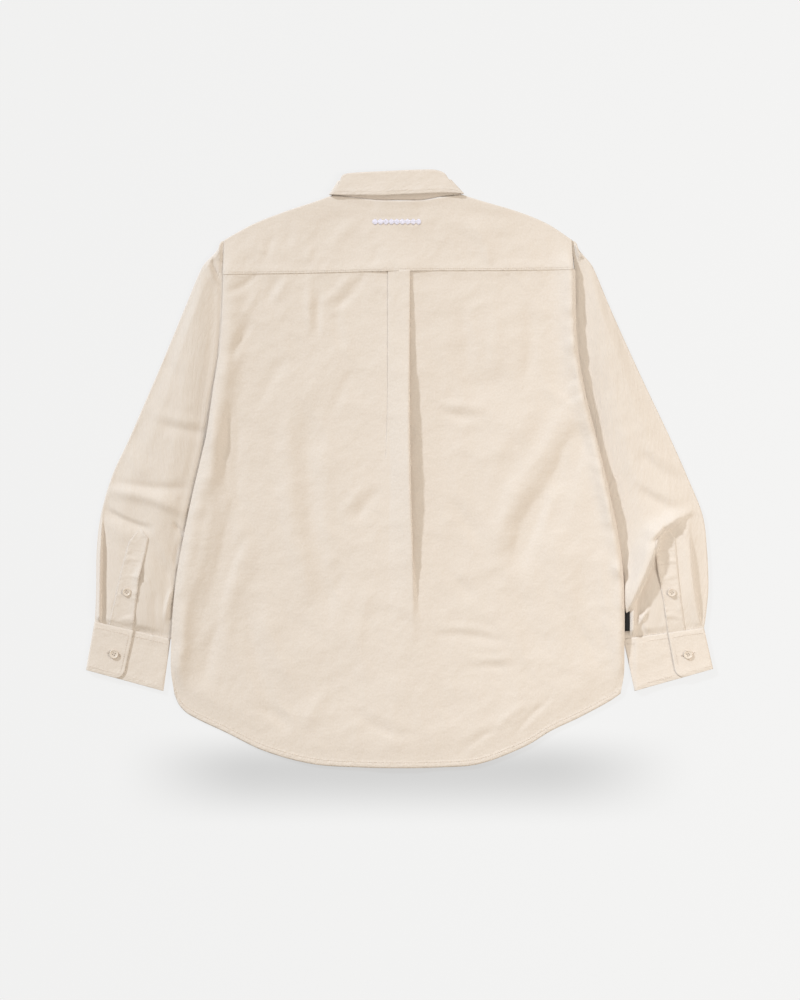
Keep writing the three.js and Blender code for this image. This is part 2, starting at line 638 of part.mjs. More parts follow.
function sleeveRing(hand, place) {
  const { outer, inner } = crossLine(hand, place);
  const width = outer.distanceTo(inner);
  const slants = edgeSlants(hand, place);
  const plan = (share) => {
    const point = outer.clone().lerp(inner, share);
    if (place in ARMHOLE_OFFSETS) {
      const offset = lerp(...ARMHOLE_OFFSETS[place], clamp(share, 0, 1));
      point.x = sideEdge(hand, point.y) + hand * offset;
    }
    return point;
  };
  const levels = (share) => {
    const { x, y } = plan(share);
    if (place === 0) return { top: sideRead('back', y) - ARMHOLE_STEP, under: sideRead('front', y) };
    return { top: sleeveTop(hand, x, y, share * width, (1 - share) * width), under: SLEEVE_ON_FLOOR };
  };
  const ends = [0, 1].map((end) => {
    const { top, under } = levels(end);
    const radius = (top - under) / 2;
    return { radius, middle: (top + under) / 2, reach: (radius * slants[end]) / width };
  });
  const between = (share) => lerp(ends[0].reach, 1 - ends[1].reach, share);
  const upper = UPPER_SHARES.map((share) => {
    const point = plan(between(share));
    return new THREE.Vector3(point.x, point.y, levels(between(share)).top);
  });
  const under = UNDER_SHARES.map((share) => {
    const point = plan(between(share));
    const shift = place === 0 ? -hand * UNDER_SHIFT : 0;
    return new THREE.Vector3(point.x + shift, point.y, levels(between(share)).under);
  });
  const turn = (end, outward) => RING_TURN.map((angle) => {
    const { radius, middle, reach } = ends[end];
    const beyond = reach * Math.cos(radians(angle));
    const point = plan(end === 0 ? between(0) - beyond : between(1) + beyond);
    return new THREE.Vector3(point.x, point.y, middle + outward * radius * Math.sin(radians(angle)));
  });
  return [...upper, ...turn(1, 1), ...under, ...turn(0, -1)];
}

const SLEEVE_PLACES = [0, 1, 2, 3, 4, 5, 5.5, 6, 6.5, 7, 7.5, 8, 8.5, 9, 9.5, 10, 11, 12];

function sleeve(hand) {
  return clothWall(SLEEVE_PLACES.map((place) => sleeveRing(hand, place)), CLOTH, { ring: true });
}

// Height of a sleeve's upper face where something lies on it
function sleeveTopAt(hand, x, y) {
  let best = { distance: Infinity };
  for (let place = 5; place <= LAST_PLACE; place += 0.1) {
    const { outer, inner } = crossLine(hand, place);
    const run = inner.clone().sub(outer);
    const off = new THREE.Vector2(x, y).sub(outer);
    const share = off.dot(run) / run.lengthSq();
    const distance = Math.abs(off.cross(run)) / run.length();
    if (distance < best.distance) best = { distance, share, width: run.length() };
  }
  return sleeveTop(hand, x, y, best.share * best.width, (1 - best.share) * best.width);
}

function sleevePlacket(hand) {
  const rows = SLEEVE_PLACKETS[hand].rows;
  const numbered = rows.map((row, index) => ({ ...row, place: index }));
  const grid = [0, 0.5, 1, 1.5, 2, 2.5, 3, 4, 5].map((place) => {
    const at = (name) => lerp(
      numbered[Math.floor(place)][name],
      numbered[Math.min(Math.ceil(place), 5)][name],
      place % 1,
    );
    return [0, 0.33, 0.67, 1].map((share) => {
      const x = lerp(at('outerX'), at('innerX'), share);
      const y = lerp(at('outerY'), at('innerY'), share);
      return new THREE.Vector3(x, y, sleeveTopAt(hand, x, y) + LAYER + 0.1);
    });
  });
  return clothWall(grid, CLOTH);
}

// Cuffs: one band each, from the round lap end round the outer fold and back under the lap
const CUFF_UNDER = STIFF_CLOTH / 2;
const CUFF_MIDDLE = CUFF_UNDER + STIFF_CLOTH + 0.7;
const CUFF_LAP = CUFF_MIDDLE + STIFF_CLOTH + 0.4;
const CUFF_ROWS = [0, 0.3, 0.6, 0.8, 0.9, 0.96, 1];
const CUFF_TURN = [60, 30, 0, -30, -60];
const LAP_CORNER = 13;

function cuffLine(hand, share) {
  const { top, bottom } = CUFFS[hand];
  const mix = (name, axis) => lerp(top[name][axis], bottom[name][axis], share);
  const outer = new THREE.Vector2(mix('outer', 0), mix('outer', 1));
  const inner = new THREE.Vector2(mix('inner', 0), mix('inner', 1));
  const height = new THREE.Vector2(...top.outer).distanceTo(new THREE.Vector2(...bottom.outer));
  const intoCorner = Math.max(LAP_CORNER - (1 - share) * height, 0);
  const roundedOff = LAP_CORNER - Math.sqrt(LAP_CORNER ** 2 - intoCorner ** 2);
  const lap = lerp(top.lap, bottom.lap, share) * outer.distanceTo(inner) - roundedOff;
  return { outer, inner, lap };
}

function cuff(hand) {
  const grid = CUFF_ROWS.map((share) => {
    const { outer, inner, lap } = cuffLine(hand, share);
    const width = outer.distanceTo(inner);
    const outerRadius = (CUFF_LAP - CUFF_UNDER) / 2;
    const innerRadius = (CUFF_MIDDLE - CUFF_UNDER) / 2;
    const section = [lap, lap * 0.6, lap * 0.3, outerRadius].map((across) => ({ across, z: CUFF_LAP }));
    for (const angle of CUFF_TURN) {
      const across = outerRadius * (1 - Math.cos(radians(angle)));
      section.push({ across, z: CUFF_UNDER + outerRadius * (1 + Math.sin(radians(angle))) });
    }
    for (const part of [outerRadius, width * 0.35, width * 0.7, width - innerRadius]) {
      section.push({ across: part, z: CUFF_UNDER });
    }
    for (const angle of CUFF_TURN) {
      const across = width - innerRadius * (1 - Math.cos(radians(angle)));
      section.push({ across, z: CUFF_UNDER + innerRadius * (1 - Math.sin(radians(angle))) });
    }
    for (const part of [width - innerRadius, width * 0.75, width * 0.5, width * 0.25, 9]) {
      section.push({ across: part, z: CUFF_MIDDLE });
    }
    return section.map(({ across, z }) => {
      const point = outer.clone().lerp(inner, across / width);
      return new THREE.Vector3(point.x, point.y, z);
    });
  });
  return clothWall(grid, STIFF_CLOTH);
}

// Collar: a flattened ring of stations, from the lap on the front round the back to the other end
const COLLAR_MIDDLE_Z = 4.95;
const STAND_REACH = 1.65;
const LEAF_REACH = 1.95;
const LEAF_LOW_REACH = 4.1;
const TOP_CENTRE = { x: -5.5, y: 398 };
const TOP_RADII = { x: 70, y: 81 };
const BACK_COLLAR = table('seamX seamY topX topY lowX lowY', [
  [-86.7, 370, -75.5, 395.5, -88.3, 375],
  [-60, 365, -52, 397, -58, 370],
  [-30, 363, -27, 398.4, -29, 369.8],
  [0, 362.8, 0, 399.8, 0, 370.7],
  [30, 363, 30, 400.8, 31, 371.8],
  [58, 365.5, 50, 400.4, 60, 373.4],
  [79.7, 370, 64.5, 395.5, 81.3, 375.5],
]);
const LEAF_DROP = table('angle drop toward', [
  [180, 26, 238], [202, 34, 241], [218, 44, 243], [234, 56, 246], [250, 66, 248], [266, 75, 250],
]);
const FRONT_ANGLES = [188, 202, 218, 234, 250, 266];
const COLLAR_TURN = [60, 20, -20, -60];

function collarStations() {
  const stations = [];
  const frontStation = (angle, hand, extra = {}) => {
    const shown = hand === LEFT ? angle : 540 - angle;
    const cos = Math.cos(radians(shown));
    const sin = Math.sin(radians(shown));
    const top = [TOP_CENTRE.x + TOP_RADII.x * cos, TOP_CENTRE.y + TOP_RADII.y * sin];
    const drop = read(LEAF_DROP, 'angle', 'drop', angle);
    const toward = read(LEAF_DROP, 'angle', 'toward', angle);
    const lean = radians(hand === LEFT ? toward : 540 - toward);
    return {
      seam: [NECK_CENTRE.x + NECK_RADIUS * cos, NECK_CENTRE.y + NECK_RADIUS * sin],
      top,
      low: [top[0] + drop * Math.cos(lean), top[1] + drop * Math.sin(lean)],
      out: new THREE.Vector3(0, 0, -1),
      standReach: STAND_REACH,
      leaf: true,
      ...extra,
    };
  };
  const turn = (row, hand, angles) => angles.map((angle) => ({
    seam: [row.seamX, row.seamY],
    top: [row.topX, row.topY],
    low: [row.lowX, row.lowY],
    out: new THREE.Vector3(hand * Math.cos(radians(angle)), 0, Math.sin(radians(angle))),
    standReach: STAND_REACH,
    leaf: true,
  }));
  stations.push(frontStation(279, LEFT, { leaf: false }));
  for (const angle of [...FRONT_ANGLES].reverse()) stations.push(frontStation(angle, LEFT));
  stations.push(...turn(BACK_COLLAR[0], LEFT, [...COLLAR_TURN].reverse()));
  for (const row of BACK_COLLAR) stations.push(...turn(row, RIGHT, [90]));
  stations.push(...turn(BACK_COLLAR[BACK_COLLAR.length - 1], RIGHT, COLLAR_TURN));
  for (const angle of FRONT_ANGLES) {
    const lift = LAYER * smooth(angle, 234, 262);
    stations.push(frontStation(angle, RIGHT, { standReach: STAND_REACH - lift }));
  }
  stations.push(frontStation(279, RIGHT, { standReach: STAND_REACH - LAYER, leaf: false }));
  return stations;
}

function collarPoint([x, y], out, reach) {
  return new THREE.Vector3(x, y, COLLAR_MIDDLE_Z).addScaledVector(out, reach);
}

function collarStand() {
  const stations = collarStations();
  const grid = [0, 0.5, 1].map((share) => stations.map(({ seam, top, out, standReach }) => (
    collarPoint(seam, out, standReach).lerp(collarPoint(top, out, standReach), share)
  )));
  return clothWall(grid, CLOTH);
}

function collarLeaf() {
  const stations = collarStations().filter((station) => station.leaf);
  const sections = stations.map(({ seam, top, low, out }) => {
    const edge = collarPoint(top, out, STAND_REACH);
    const up = edge.clone().sub(collarPoint(seam, out, STAND_REACH)).normalize();
    const moved = (rise, outward) => edge.clone().addScaledVector(up, rise).addScaledVector(out, outward);
    const lower = collarPoint(low, out, LEAF_LOW_REACH);
    const turned = moved(0.2, LEAF_REACH);
    return [
      moved(0.8, 0),
      moved(2.2, 0.25),
      moved(2.9, 0.95),
      moved(2.0, 1.75),
      turned,
      ...[0.25, 0.5, 0.75, 1].map((share) => turned.clone().lerp(lower, share)),
    ];
  });
  const grid = sections[0].map((_, row) => sections.map((section) => section[row]));
  return clothWall(grid, CLOTH);
}

// Buttons: turned discs with a raised rim
const BUTTON_SIDES = 12;

function buttonShape(diameter) {
  const radius = diameter / 2;
  const rim = 1.1;
  const profile = [
    [0, 0], [radius - 0.7, 0], [radius, 0.8], [radius - 0.3, BUTTON_HEIGHT],
    [radius - rim, BUTTON_HEIGHT], [radius - 2 * rim, BUTTON_HEIGHT - 0.7], [0, BUTTON_HEIGHT - 0.7],
  ].map(([x, y]) => new THREE.Vector2(x, y));
  const disc = new THREE.LatheGeometry(profile, BUTTON_SIDES);
  disc.rotateX(Math.PI / 2);
  return facingOut(disc);
}

function addButton(name, diameter, x, y, z, faceDown = false) {
  const button = sew(name, buttonShape(diameter), materials.button);
  button.position.set(x, y, faceDown ? z + BUTTON_HEIGHT : z);
  if (faceDown) button.rotation.x = Math.PI;
}

const FRONT_BUTTON = 11.5;
const CUFF_BUTTON = 12.5;

function addButtons() {
  addButton('button_collar', FRONT_BUTTON, CENTRE_FRONT - 1, COLLAR_BUTTON_Y, 0, true);
  for (let count = 0; count < FRONT_BUTTONS; count += 1) {
    const y = FIRST_BUTTON_Y - count * BUTTON_SPACING;
    addButton(`button_front_${count + 1}`, FRONT_BUTTON, CENTRE_FRONT, y, 0, true);
  }
  for (const [hand, name] of [[LEFT, 'left'], [RIGHT, 'right']]) {
    const [cuffX, cuffY] = CUFFS[hand].button;
    addButton(`button_cuff_${name}`, CUFF_BUTTON, cuffX, cuffY, CUFF_LAP + STIFF_CLOTH / 2 + SEAM_GAP);
    const [x, y] = SLEEVE_PLACKETS[hand].button;
    const z = sleeveTopAt(hand, x, y) + LAYER + CLOTH / 2 + SEAM_GAP + 0.3;
    addButton(`button_sleeve_${name}`, FRONT_BUTTON, x, y, z);
  }
}

// Folded tab in the right side seam
const TAB = { length: 29.5, reach: 6.4, thickness: 1.2, y: -204 };

function sideTab() {
  const edge = sideEdge(RIGHT, TAB.y) + SEAM_GAP;
  const shape = new THREE.BoxGeometry(TAB.reach, TAB.length, TAB.thickness);
  shape.translate(edge + TAB.reach / 2, TAB.y, sideRead('back', TAB.y) - SEAM_GAP);
  return facingOut(shape);
}

sew('back', backPanel());
sew('yoke', yoke());
sew('front_left', frontPanel(LEFT));
sew('front_right', frontPanel(RIGHT));
sew('front_placket', frontPlacket());
sew('collar_stand', collarStand());
sew('collar_leaf', collarLeaf());
for (const [hand, name] of [[LEFT, 'left'], [RIGHT, 'right']]) {
  sew(`sleeve_${name}`, sleeve(hand));
  sew(`sleeve_placket_${name}`, sleevePlacket(hand));
  sew(`cuff_${name}`, cuff(hand));
}
addButtons();
sew('side_tab', sideTab(), materials.tab);

export default shirt;
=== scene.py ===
"""Looks of the oxford shirt: thin cloth on the form of the CAD part, with its creases, sewing and buttons.

The tables are in millimetres, in the axes of the frame: X to the wearer's right, Y to the collar, Z up.
The shirt lies on its buttoned front with its back upward.
"""
import math

import bpy
import numpy as np
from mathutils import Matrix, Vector


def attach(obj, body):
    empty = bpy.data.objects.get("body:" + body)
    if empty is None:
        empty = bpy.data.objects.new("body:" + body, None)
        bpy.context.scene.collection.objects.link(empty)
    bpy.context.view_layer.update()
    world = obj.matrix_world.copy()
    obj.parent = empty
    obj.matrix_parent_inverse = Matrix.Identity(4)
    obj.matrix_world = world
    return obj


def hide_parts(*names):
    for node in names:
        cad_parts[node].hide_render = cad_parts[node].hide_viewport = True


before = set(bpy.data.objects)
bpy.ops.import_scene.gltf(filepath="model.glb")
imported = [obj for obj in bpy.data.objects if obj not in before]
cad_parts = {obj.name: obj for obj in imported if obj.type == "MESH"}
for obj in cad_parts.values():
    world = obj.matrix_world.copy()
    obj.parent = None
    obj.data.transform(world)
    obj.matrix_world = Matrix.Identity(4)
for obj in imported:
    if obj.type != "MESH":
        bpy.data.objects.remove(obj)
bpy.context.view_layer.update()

MM = 0.001
LEFT = -1
RIGHT = 1
SIDE_NAMES = {LEFT: "left", RIGHT: "right"}

# Walls of the CAD part
CLOTH = 1.2
STIFF_CLOTH = 1.6
SEAM_GAP = 0.3
LAYER = CLOTH + 0.4

# Real cloth
THIN = 0.6
STIFF = 1.0

# Driving sizes of the shirt
CENTRE_FRONT = -4
UNDERARM_Y = 48
SIDE_TOP_Y = 264
SIDE_BOTTOM_Y = -303
LOFT = 5
ROLL = 9
PLACKET_WIDTH = 32
FRONT_HEM_RISE = 3
BUTTON_HEIGHT = 2.4
PLACKET_RISE = BUTTON_HEIGHT + SEAM_GAP
COLLAR_BUTTON_Y = 301
FIRST_BUTTON_Y = 235
BUTTON_SPACING = 88
FRONT_BUTTONS = 7
FRONT_BUTTON = 11.5
CUFF_BUTTON = 12.5


def table(columns, rows):
    """A table of sizes: its column names, then a row for each station."""
    values = np.array(rows, float)
    return {name: values[:, place] for place, name in enumerate(columns.split())}


# Side edges of the body from shoulder tip to hem corner: their places, the heights of the front's
# and the back's edge, and how far the cloth stands up beside them
SIDES = table("y left right front back ridge", [
    [309, -237, 233, 1.0, 4.4, 0],
    [264, -238.3, 237.6, 1.5, 5.8, 1.0],
    [210, -239.7, 238.3, 3.2, 7.2, 2.2],
    [156, -243.5, 241.5, 4.2, 8.0, 3.2],
    [102, -252.6, 251.3, 4.4, 8.2, 4.0],
    [48, -260.5, 264.6, 4.6, 8.2, 4.6],
    [21, -266.5, 271.5, 7.0, 8.2, 5.0],
    [-33, -279.2, 284, 7.2, 8.4, 5.4],
    [-87, -290.6, 295, 7.2, 8.4, 5.4],
    [-141, -300.5, 302, 7.0, 8.2, 5.0],
    [-195, -306.3, 303.9, 6.4, 7.7, 4.4],
    [-249, -308.8, 303.6, 4.8, 6.4, 3.6],
    [-276, -308.4, 303.2, 3.2, 5.0, 2.4],
    [-303, -304.4, 299, 0.8, 2.7, 0],
])

HEM = table("x y", [
    [-304.4, -303], [-298, -318], [-285, -331], [-234, -356], [-182, -381], [-117, -398.5], [-53, -403],
    [0, -404], [55, -403], [107, -398.5], [169, -375], [206, -353], [242, -336], [283, -314], [299, -303],
])
YOKE_SEAM = table("x y", [[-239, 264], [-110, 266], [0, 268.6], [148, 269.5], [238, 270.6]])
LEFT_SHOULDER = table("x y", [[-237, 309], [-198, 330.5], [-156, 347], [-112, 361.5], [-90.5, 369.5]])
RIGHT_SHOULDER = table("x y", [[83.5, 370.5], [110, 362], [161, 347], [200, 330.8], [233, 309]])
BACK_NECK = table("x y", [[-90.5, 369.5], [-60, 366.5], [-30, 363], [30, 363], [58, 367.5], [83.5, 370.5]])
FRONT_YOKE_SEAM = table("x y", [[77, 337], [120, 320], [160, 302], [200, 284], [238, 264]])

# Where the fronts lie raised on the sleeve under them: from which distance off the centre, and how far
SLEEVE_UNDER = table("y from height", [
    [309, 236, 0.4], [264, 236, 0.9], [210, 236, 2.4], [156, 240, 3.6], [102, 246, 3.8], [48, 250, 3.8],
    [21, 252, 3.8], [-6, 256, 3.8], [-33, 252, 3.8], [-60, 242, 3.8], [-100, 222, 3.8], [-128, 222, 3.8],
    [-155, 230, 3.8], [-182, 246, 3.8], [-209, 270, 3.8], [-236, 292, 3.8], [-263, 300, 2.2],
    [-303, 302, 0.2],
])

# The box pleat down the back: the edges of its face, the depth of the cloth turned under at each edge,
# how folded each edge is, and how high it stands
PLEAT = table("y leftEdge rightEdge leftDepth leftFold rightDepth rightFold leftRise rightRise", [
    [270, -15.5, 14.2, 13, 1, 13, 1, 1.5, 2.4],
    [180, -15.5, 13.8, 12, 1, 12, 1, 1.4, 5.4],
    [100, -16, 13.8, 8, 0.9, 11, 1, 1.3, 9.2],
    [40, -18, 14.4, 4, 0.5, 9, 1, 1.1, 12.0],
    [-20, -21, 15.4, 0, 0.1, 7, 1, 0.7, 12.0],
    [-75, -23, 17, 0, 0, 4, 1, 0, 9.6],
    [-130, -23, 19.5, 0, 0, 1, 0.8, 0, 6.2],
    [-185, -23, 22.5, 0, 0, 0, 0.45, 0, 3.2],
    [-225, -23, 24, 0, 0, 0, 0.1, 0, 0.8],
    [-262, -23, 24, 0, 0, 0, 0, 0, 0],
])

# Creases as soft ridges, or troughs where the height is negative. Each runs from 1 to 2, bows sideways to
# the right of that way, and has its own width on its left and on its right.
CREASE_COLUMNS = "x1 y1 x2 y2 bow left right height"
BACK_CREASES = table(CREASE_COLUMNS, [
    # beside the left side seam
    [-252, 88, -252, -40, 0, 9, 9, 2.4],
    [-250, -30, -286, -190, -4, 9, 9, 2.2],
    [-286, -180, -299, -285, 0, 9, 8, 1.8],
    [-228, 88, -228, -46, 0, 12, 9, -3.0],
    [-226, -40, -259, -200, -4, 12, 9, -3.2],
    [-259, -190, -264, -290, 0, 12, 10, -2.4],
    [-214, 20, -232, -60, 4, 6, 8, 1.1],
    [-222, -150, -236, -262, 3, 10, 12, 1.2],
    # down the left half
    [-152, 84, -140, -110, 4, 14, 13, 1.9],
    [-123, 84, -112, -110, 4, 14, 13, -2.2],
    [-140, -90, -128, -180, -3, 12, 14, 1.2],
    [-112, -95, -102, -190, -3, 12, 14, -1.5],
    [-100, 30, -94, -120, 4, 12, 14, 1],
    [-207, -90, -238, -152, 3, 7, 9, -2],
    [-25, -28, -57, -70, 3, 5, 8, -1.5],
    [-42, -16, -72, -58, 2, 7, 6, 0.9],
    [-180, -180, -140, -300, 8, 14, 12, 1.3],
    [-205, -190, -168, -330, 6, 11, 12, -1.4],
    [-70, -120, -96, -210, 4, 10, 12, -1.2],
    [-40, -160, -58, -250, 3, 9, 11, 0.9],
    # under the yoke, left
    [-234, 236, -192, 262, 2, 5, 5, -1.2],
    [-200, 199, -229, 142, 2, 5, 7, -1.6],
    [-190, 244, -214, 205, -2, 5, 6, 1],
    [-107, 242, -109, 178, 2, 4, 7, -1.5],
    [-123, 258, -122, 184, 0, 6, 5, 1.2],
    [-47, 262, -88, 216, -3, 5, 6, -1.6],
    [-66, 264, -104, 224, -3, 6, 5, 1.1],
    [-86, 212, -74, 168, 3, 8, 8, -1.4],
    [-160, 260, -180, 224, 2, 5, 6, -1],
    [-148, 258, -166, 228, 2, 5, 5, 1],
    [-150, 150, -188, 92, 4, 9, 10, -1.2],
    [-60, 140, -90, 70, 3, 8, 9, -1],
    # right half
    [248, 56, 204, -26, -4, 16, 13, -4.4],
    [206, -18, 156, -132, 6, 16, 13, -4.2],
    [226, 84, 182, 4, -4, 15, 13, 2.6],
    [184, 12, 132, -104, 6, 15, 13, 2.4],
    [190, 80, 112, 0, 8, 18, 20, 1.3],
    [232, 10, 190, -110, 8, 14, 11, 1.6],
    [86, 110, 150, 122, 2, 16, 22, -1.6],
    [88, 222, 96, 118, 2, 9, 13, -1.4],
    [176, 222, 172, 116, -2, 12, 9, -1.5],
    [128, 226, 134, 130, 3, 12, 12, 0.9],
    [50, 78, 118, 68, 2, 5, 7, -1.1],
    [56, 90, 120, 82, 2, 6, 5, 0.9],
    [238, 148, 232, 118, 0, 4, 5, -0.9],
    [240, 124, 226, 112, 0, 3, 4, -0.9],
    [247, 104, 226, 92, 0, 4, 4, -0.9],
    [198, 112, 246, 82, 4, 7, 8, 0.9],
    [70, -40, 112, -96, 3, 8, 10, -1.1],
    [60, -130, 100, -170, 3, 8, 9, -0.9],
    # lower right
    [48, -224, 140, -232, -3, 4, 6, -1],
    [58, -214, 126, -220, -3, 5, 5, 0.9],
    [86, -266, 158, -265, 2, 4, 5, -0.7],
    [100, -256, 150, -254, 2, 5, 4, 0.8],
    [274, -112, 290, -250, 3, 12, 8, 1.8],
    [248, -130, 262, -262, 3, 10, 12, -1.6],
    [160, -150, 196, -250, 5, 14, 16, -1.4],
    [128, -352, 78, -390, 3, 4, 6, -1.1],
    [204, -311, 154, -362, 3, 4, 6, -1.1],
    [170, -316, 132, -352, 2, 6, 5, 0.7],
    [-60, -330, 20, -362, 6, 9, 10, -1],
    [-150, -352, -190, -322, 4, 7, 9, -1.2],
    [-96, -300, -128, -350, 3, 8, 9, 0.9],
])
YOKE_CREASES = table(CREASE_COLUMNS, [
    [-70, 344, -120, 300, 4, 9, 10, -1.0],
    [-56, 336, -96, 290, 4, 8, 9, 0.9],
    [90, 330, 130, 286, -4, 9, 10, 0.9],
    [-170, 316, -178, 282, 2, 5, 6, -1.0],
    [-120, 300, -124, 278, 0, 4, 5, 0.7],
    [-30, 300, -34, 276, 0, 5, 5, -0.6],
    [118, 300, 122, 278, 0, 4, 5, 0.7],
    [92, 352, 156, 344, 3, 9, 9, -1.6],
    [100, 362, 150, 352, 2, 5, 6, 0.8],
    [-44, 357, -44, 339, 0, 2.4, 2.4, -0.5],
    [29, 357, 29, 339, 0, 2.4, 2.4, -0.5],
    [-44, 340, 29, 340, 0, 2.4, 2.4, -0.5],
    [-200, 322, -226, 288, 2, 7, 8, -0.9],
    [-186, 330, -206, 286, 3, 8, 8, 0.7],
    [-140, 348, -154, 300, 2, 8, 10, -0.7],
    [150, 338, 196, 290, -3, 9, 9, -0.7],
    [206, 322, 220, 284, 2, 7, 8, -0.8],
    [40, 330, 62, 290, 2, 9, 9, -0.5],
])
FRONT_CREASES = table(CREASE_COLUMNS, [
    [-160, 190, -120, 60, 6, 10, 12, 1.3],
    [-60, 130, -96, -30, 5, 9, 12, 1.1],
    [-150, -60, -100, -210, 7, 11, 12, 1.4],
    [-60, -220, -110, -330, 4, 8, 10, 1.0],
    [150, 200, 110, 70, -5, 10, 12, 1.2],
    [60, 90, 90, -60, 5, 9, 11, 1.0],
    [150, -50, 100, -190, 7, 11, 12, 1.4],
    [70, -240, 130, -320, 4, 8, 10, 1.1],
])
SLEEVE_CREASES = table(CREASE_COLUMNS, [
    # left sleeve: head
    [-264, 286, -247, 250, 0, 3, 5, 2.6],
    [-259, 291, -242, 256, 0, 2.4, 2.4, -2.4],
    [-255, 298, -240, 290, 0, 2.2, 2.2, 1.3],
    [-252, 290, -239, 282, 0, 2.2, 2.2, 1.2],
    # left sleeve: elbow
    [-332, 64, -258, 49, 3, 6, 8, -1.8],
    [-326, 76, -262, 62, 3, 7, 6, 1.0],
    [-388, -18, -286, -26, 3, 6, 7, -2.4],
    [-394, -28, -286, -60, -5, 10, 8, 3.8],
    [-396, -54, -336, -80, 3, 3, 7, -3.6],
    [-400, -70, -352, -96, 3, 8, 8, 1.2],
    [-372, 30, -340, -8, 3, 9, 9, 0.9],
    [-304, -74, -288, -90, 1, 3, 4, -2.4],
    # left sleeve: the pleat and the folds above the cuff
    [-401.5, -66, -404.5, -230, 1, 1.3, 5, 7.4],
    [-388, -172, -391, -222, 0, 2.4, 5, 1.2],
    [-334, -92, -304, -150, 5, 9, 9, -1.2],
    [-322, -96, -296, -140, 4, 8, 8, 1.2],
    [-299, -100, -303, -134, 0, 3, 4, -2.0],
    [-306, -160, -317, -206, 2, 4, 3, 2.6],
    [-302, -168, -308, -206, 2, 3, 3, -2.0],
    [-330, -168, -326, -222, 2, 5, 6, -1.2],
    [-318, 150, -292, 120, 2, 8, 9, -0.8],
    [-300, 176, -282, 128, 2, 8, 9, 0.7],
    [-340, 90, -318, 52, -2, 9, 9, 0.9],
    [-352, 60, -336, 8, 4, 8, 10, -0.9],
    # right sleeve: head
    [238, 307, 248, 283, 0, 5, 5, 3.6],
    [252, 293, 243, 275, 0, 2.4, 2.4, -2.8],
    # right sleeve: elbow
    [320, 28, 378, -18, 4, 8, 9, -2.0],
    [330, 36, 392, -6, 3, 7, 8, 1.0],
    [322, -26, 382, -58, 4, 7, 8, -2.0],
    [316, -12, 380, -42, 3, 8, 7, 1.2],
    [296, 60, 330, 20, 3, 8, 9, 0.8],
    # right sleeve: the large fold beside and above the placket
    [305, -196, 352, -84, 3, 19, 2.4, 16],
    [315, -240, 316, -178, 0, 5, 2.6, 8.5],
    [338, -95, 378, -66, -1, 14, 3, 8],
    [352, -82, 398, -56, 0, 10, 2.5, 2.6],
    [318, -216, 336, -190, 0, 5, 2.2, 3.0],
    # right sleeve: the pleat and the folds above the cuff
    [391, -88, 407, -218, 3, 1.8, 10, 4.6],
    [366, -60, 398, -96, 3, 6, 7, 1.0],
    [326, -196, 338, -222, 2, 6, 3, 1.6],
    [340, 100, 372, 44, 3, 9, 10, -0.9],
    [300, 196, 318, 140, 2, 7, 8, -0.8],
    [288, 214, 296, 160, 2, 6, 7, 0.7],
])

# Cross lines of each sleeve, from its outer edge to its underarm edge. The first is the armhole.
LEFT_SLEEVE = table("outerX outerY innerX innerY", [
    [-237, 309, -260.5, 48], [-247, 303, -258, 41], [-266.4, 272, -259, 28], [-290.2, 216, -260, 14],
    [-321.8, 140, -262, -2], [-344.3, 88, -264, -24], [-366.1, 38, -258, -50], [-388, -9.5, -245, -80],
    [-403, -62, -232, -112], [-408.6, -109, -240, -148], [-409.4, -157, -262, -180],
    [-410.2, -185, -285, -204], [-411.6, -207.4, -309.6, -230.4],
])
RIGHT_SLEEVE = table("outerX outerY innerX innerY", [
    [233, 309, 264.6, 48], [243, 303, 262, 41], [261.2, 272, 263, 28], [284.8, 216, 264, 14],
    [318.9, 140, 266, -2], [343.4, 88, 268, -24], [367, 38, 262, -50], [388, -9.5, 248, -80],
    [409, -62, 234, -112], [415, -109, 240, -148], [417, -157, 260, -180],
    [414.5, -190, 283, -204], [411, -215.4, 303, -230.2],
])
LAST_PLACE = 12

# Cuffs: the two ends of their upper and lower edge, and how far across the lap reaches
CUFFS = {
    LEFT: {
        "top": {"outer": (-411.7, -207.9), "inner": (-309.8, -230.9), "lap": 0.517},
        "bottom": {"outer": (-423.1, -271.4), "inner": (-319.3, -299.7), "lap": 0.48},
        "button": (-385.4, -249.8),
    },
    RIGHT: {
        "top": {"outer": (411.1, -216), "inner": (303, -230.9), "lap": 0.45},
        "bottom": {"outer": (423.1, -270), "inner": (317.9, -299.7), "lap": 0.469},
        "button": (389.5, -250.4),
    },
}

# Tower plackets: both long edges, from the cuff up to the corners and the point
SLEEVE_PLACKETS = {
    LEFT: {
        "rows": table("outerX outerY innerX innerY", [
            [-393.3, -211.2, -359.3, -219], [-385, -178, -355.5, -184], [-376, -138, -350.5, -144],
            [-367.5, -106, -341.5, -110], [-365, -98, -338.6, -93.4], [-352.5, -83.5, -347.5, -82],
        ]),
        "button": (-367.9, -166.1),
    },
    RIGHT: {
        "rows": table("outerX outerY innerX innerY", [
            [386.6, -218.6, 362.4, -221.9], [380.5, -178, 356.5, -180], [376.5, -138, 348.5, -140],
            [373.8, -108, 345.2, -110], [372.6, -93, 345.4, -97], [364, -82, 356, -81.5],
        ]),
        "button": (367.2, -166.7),
    },
}


# Reading tables and shaping heights
def smooth(value, start, end):
    share = np.clip((value - start) / (end - start), 0, 1)
    return share * share * (3 - 2 * share)


def lerp(start, end, share):
    return start + (end - start) * share


def bell(distance, width):
    return np.exp(-((distance / width) ** 2))


def smooth_max(first, second, softness=0.5):
    return (first + second + np.sqrt((first - second) ** 2 + softness ** 2)) / 2


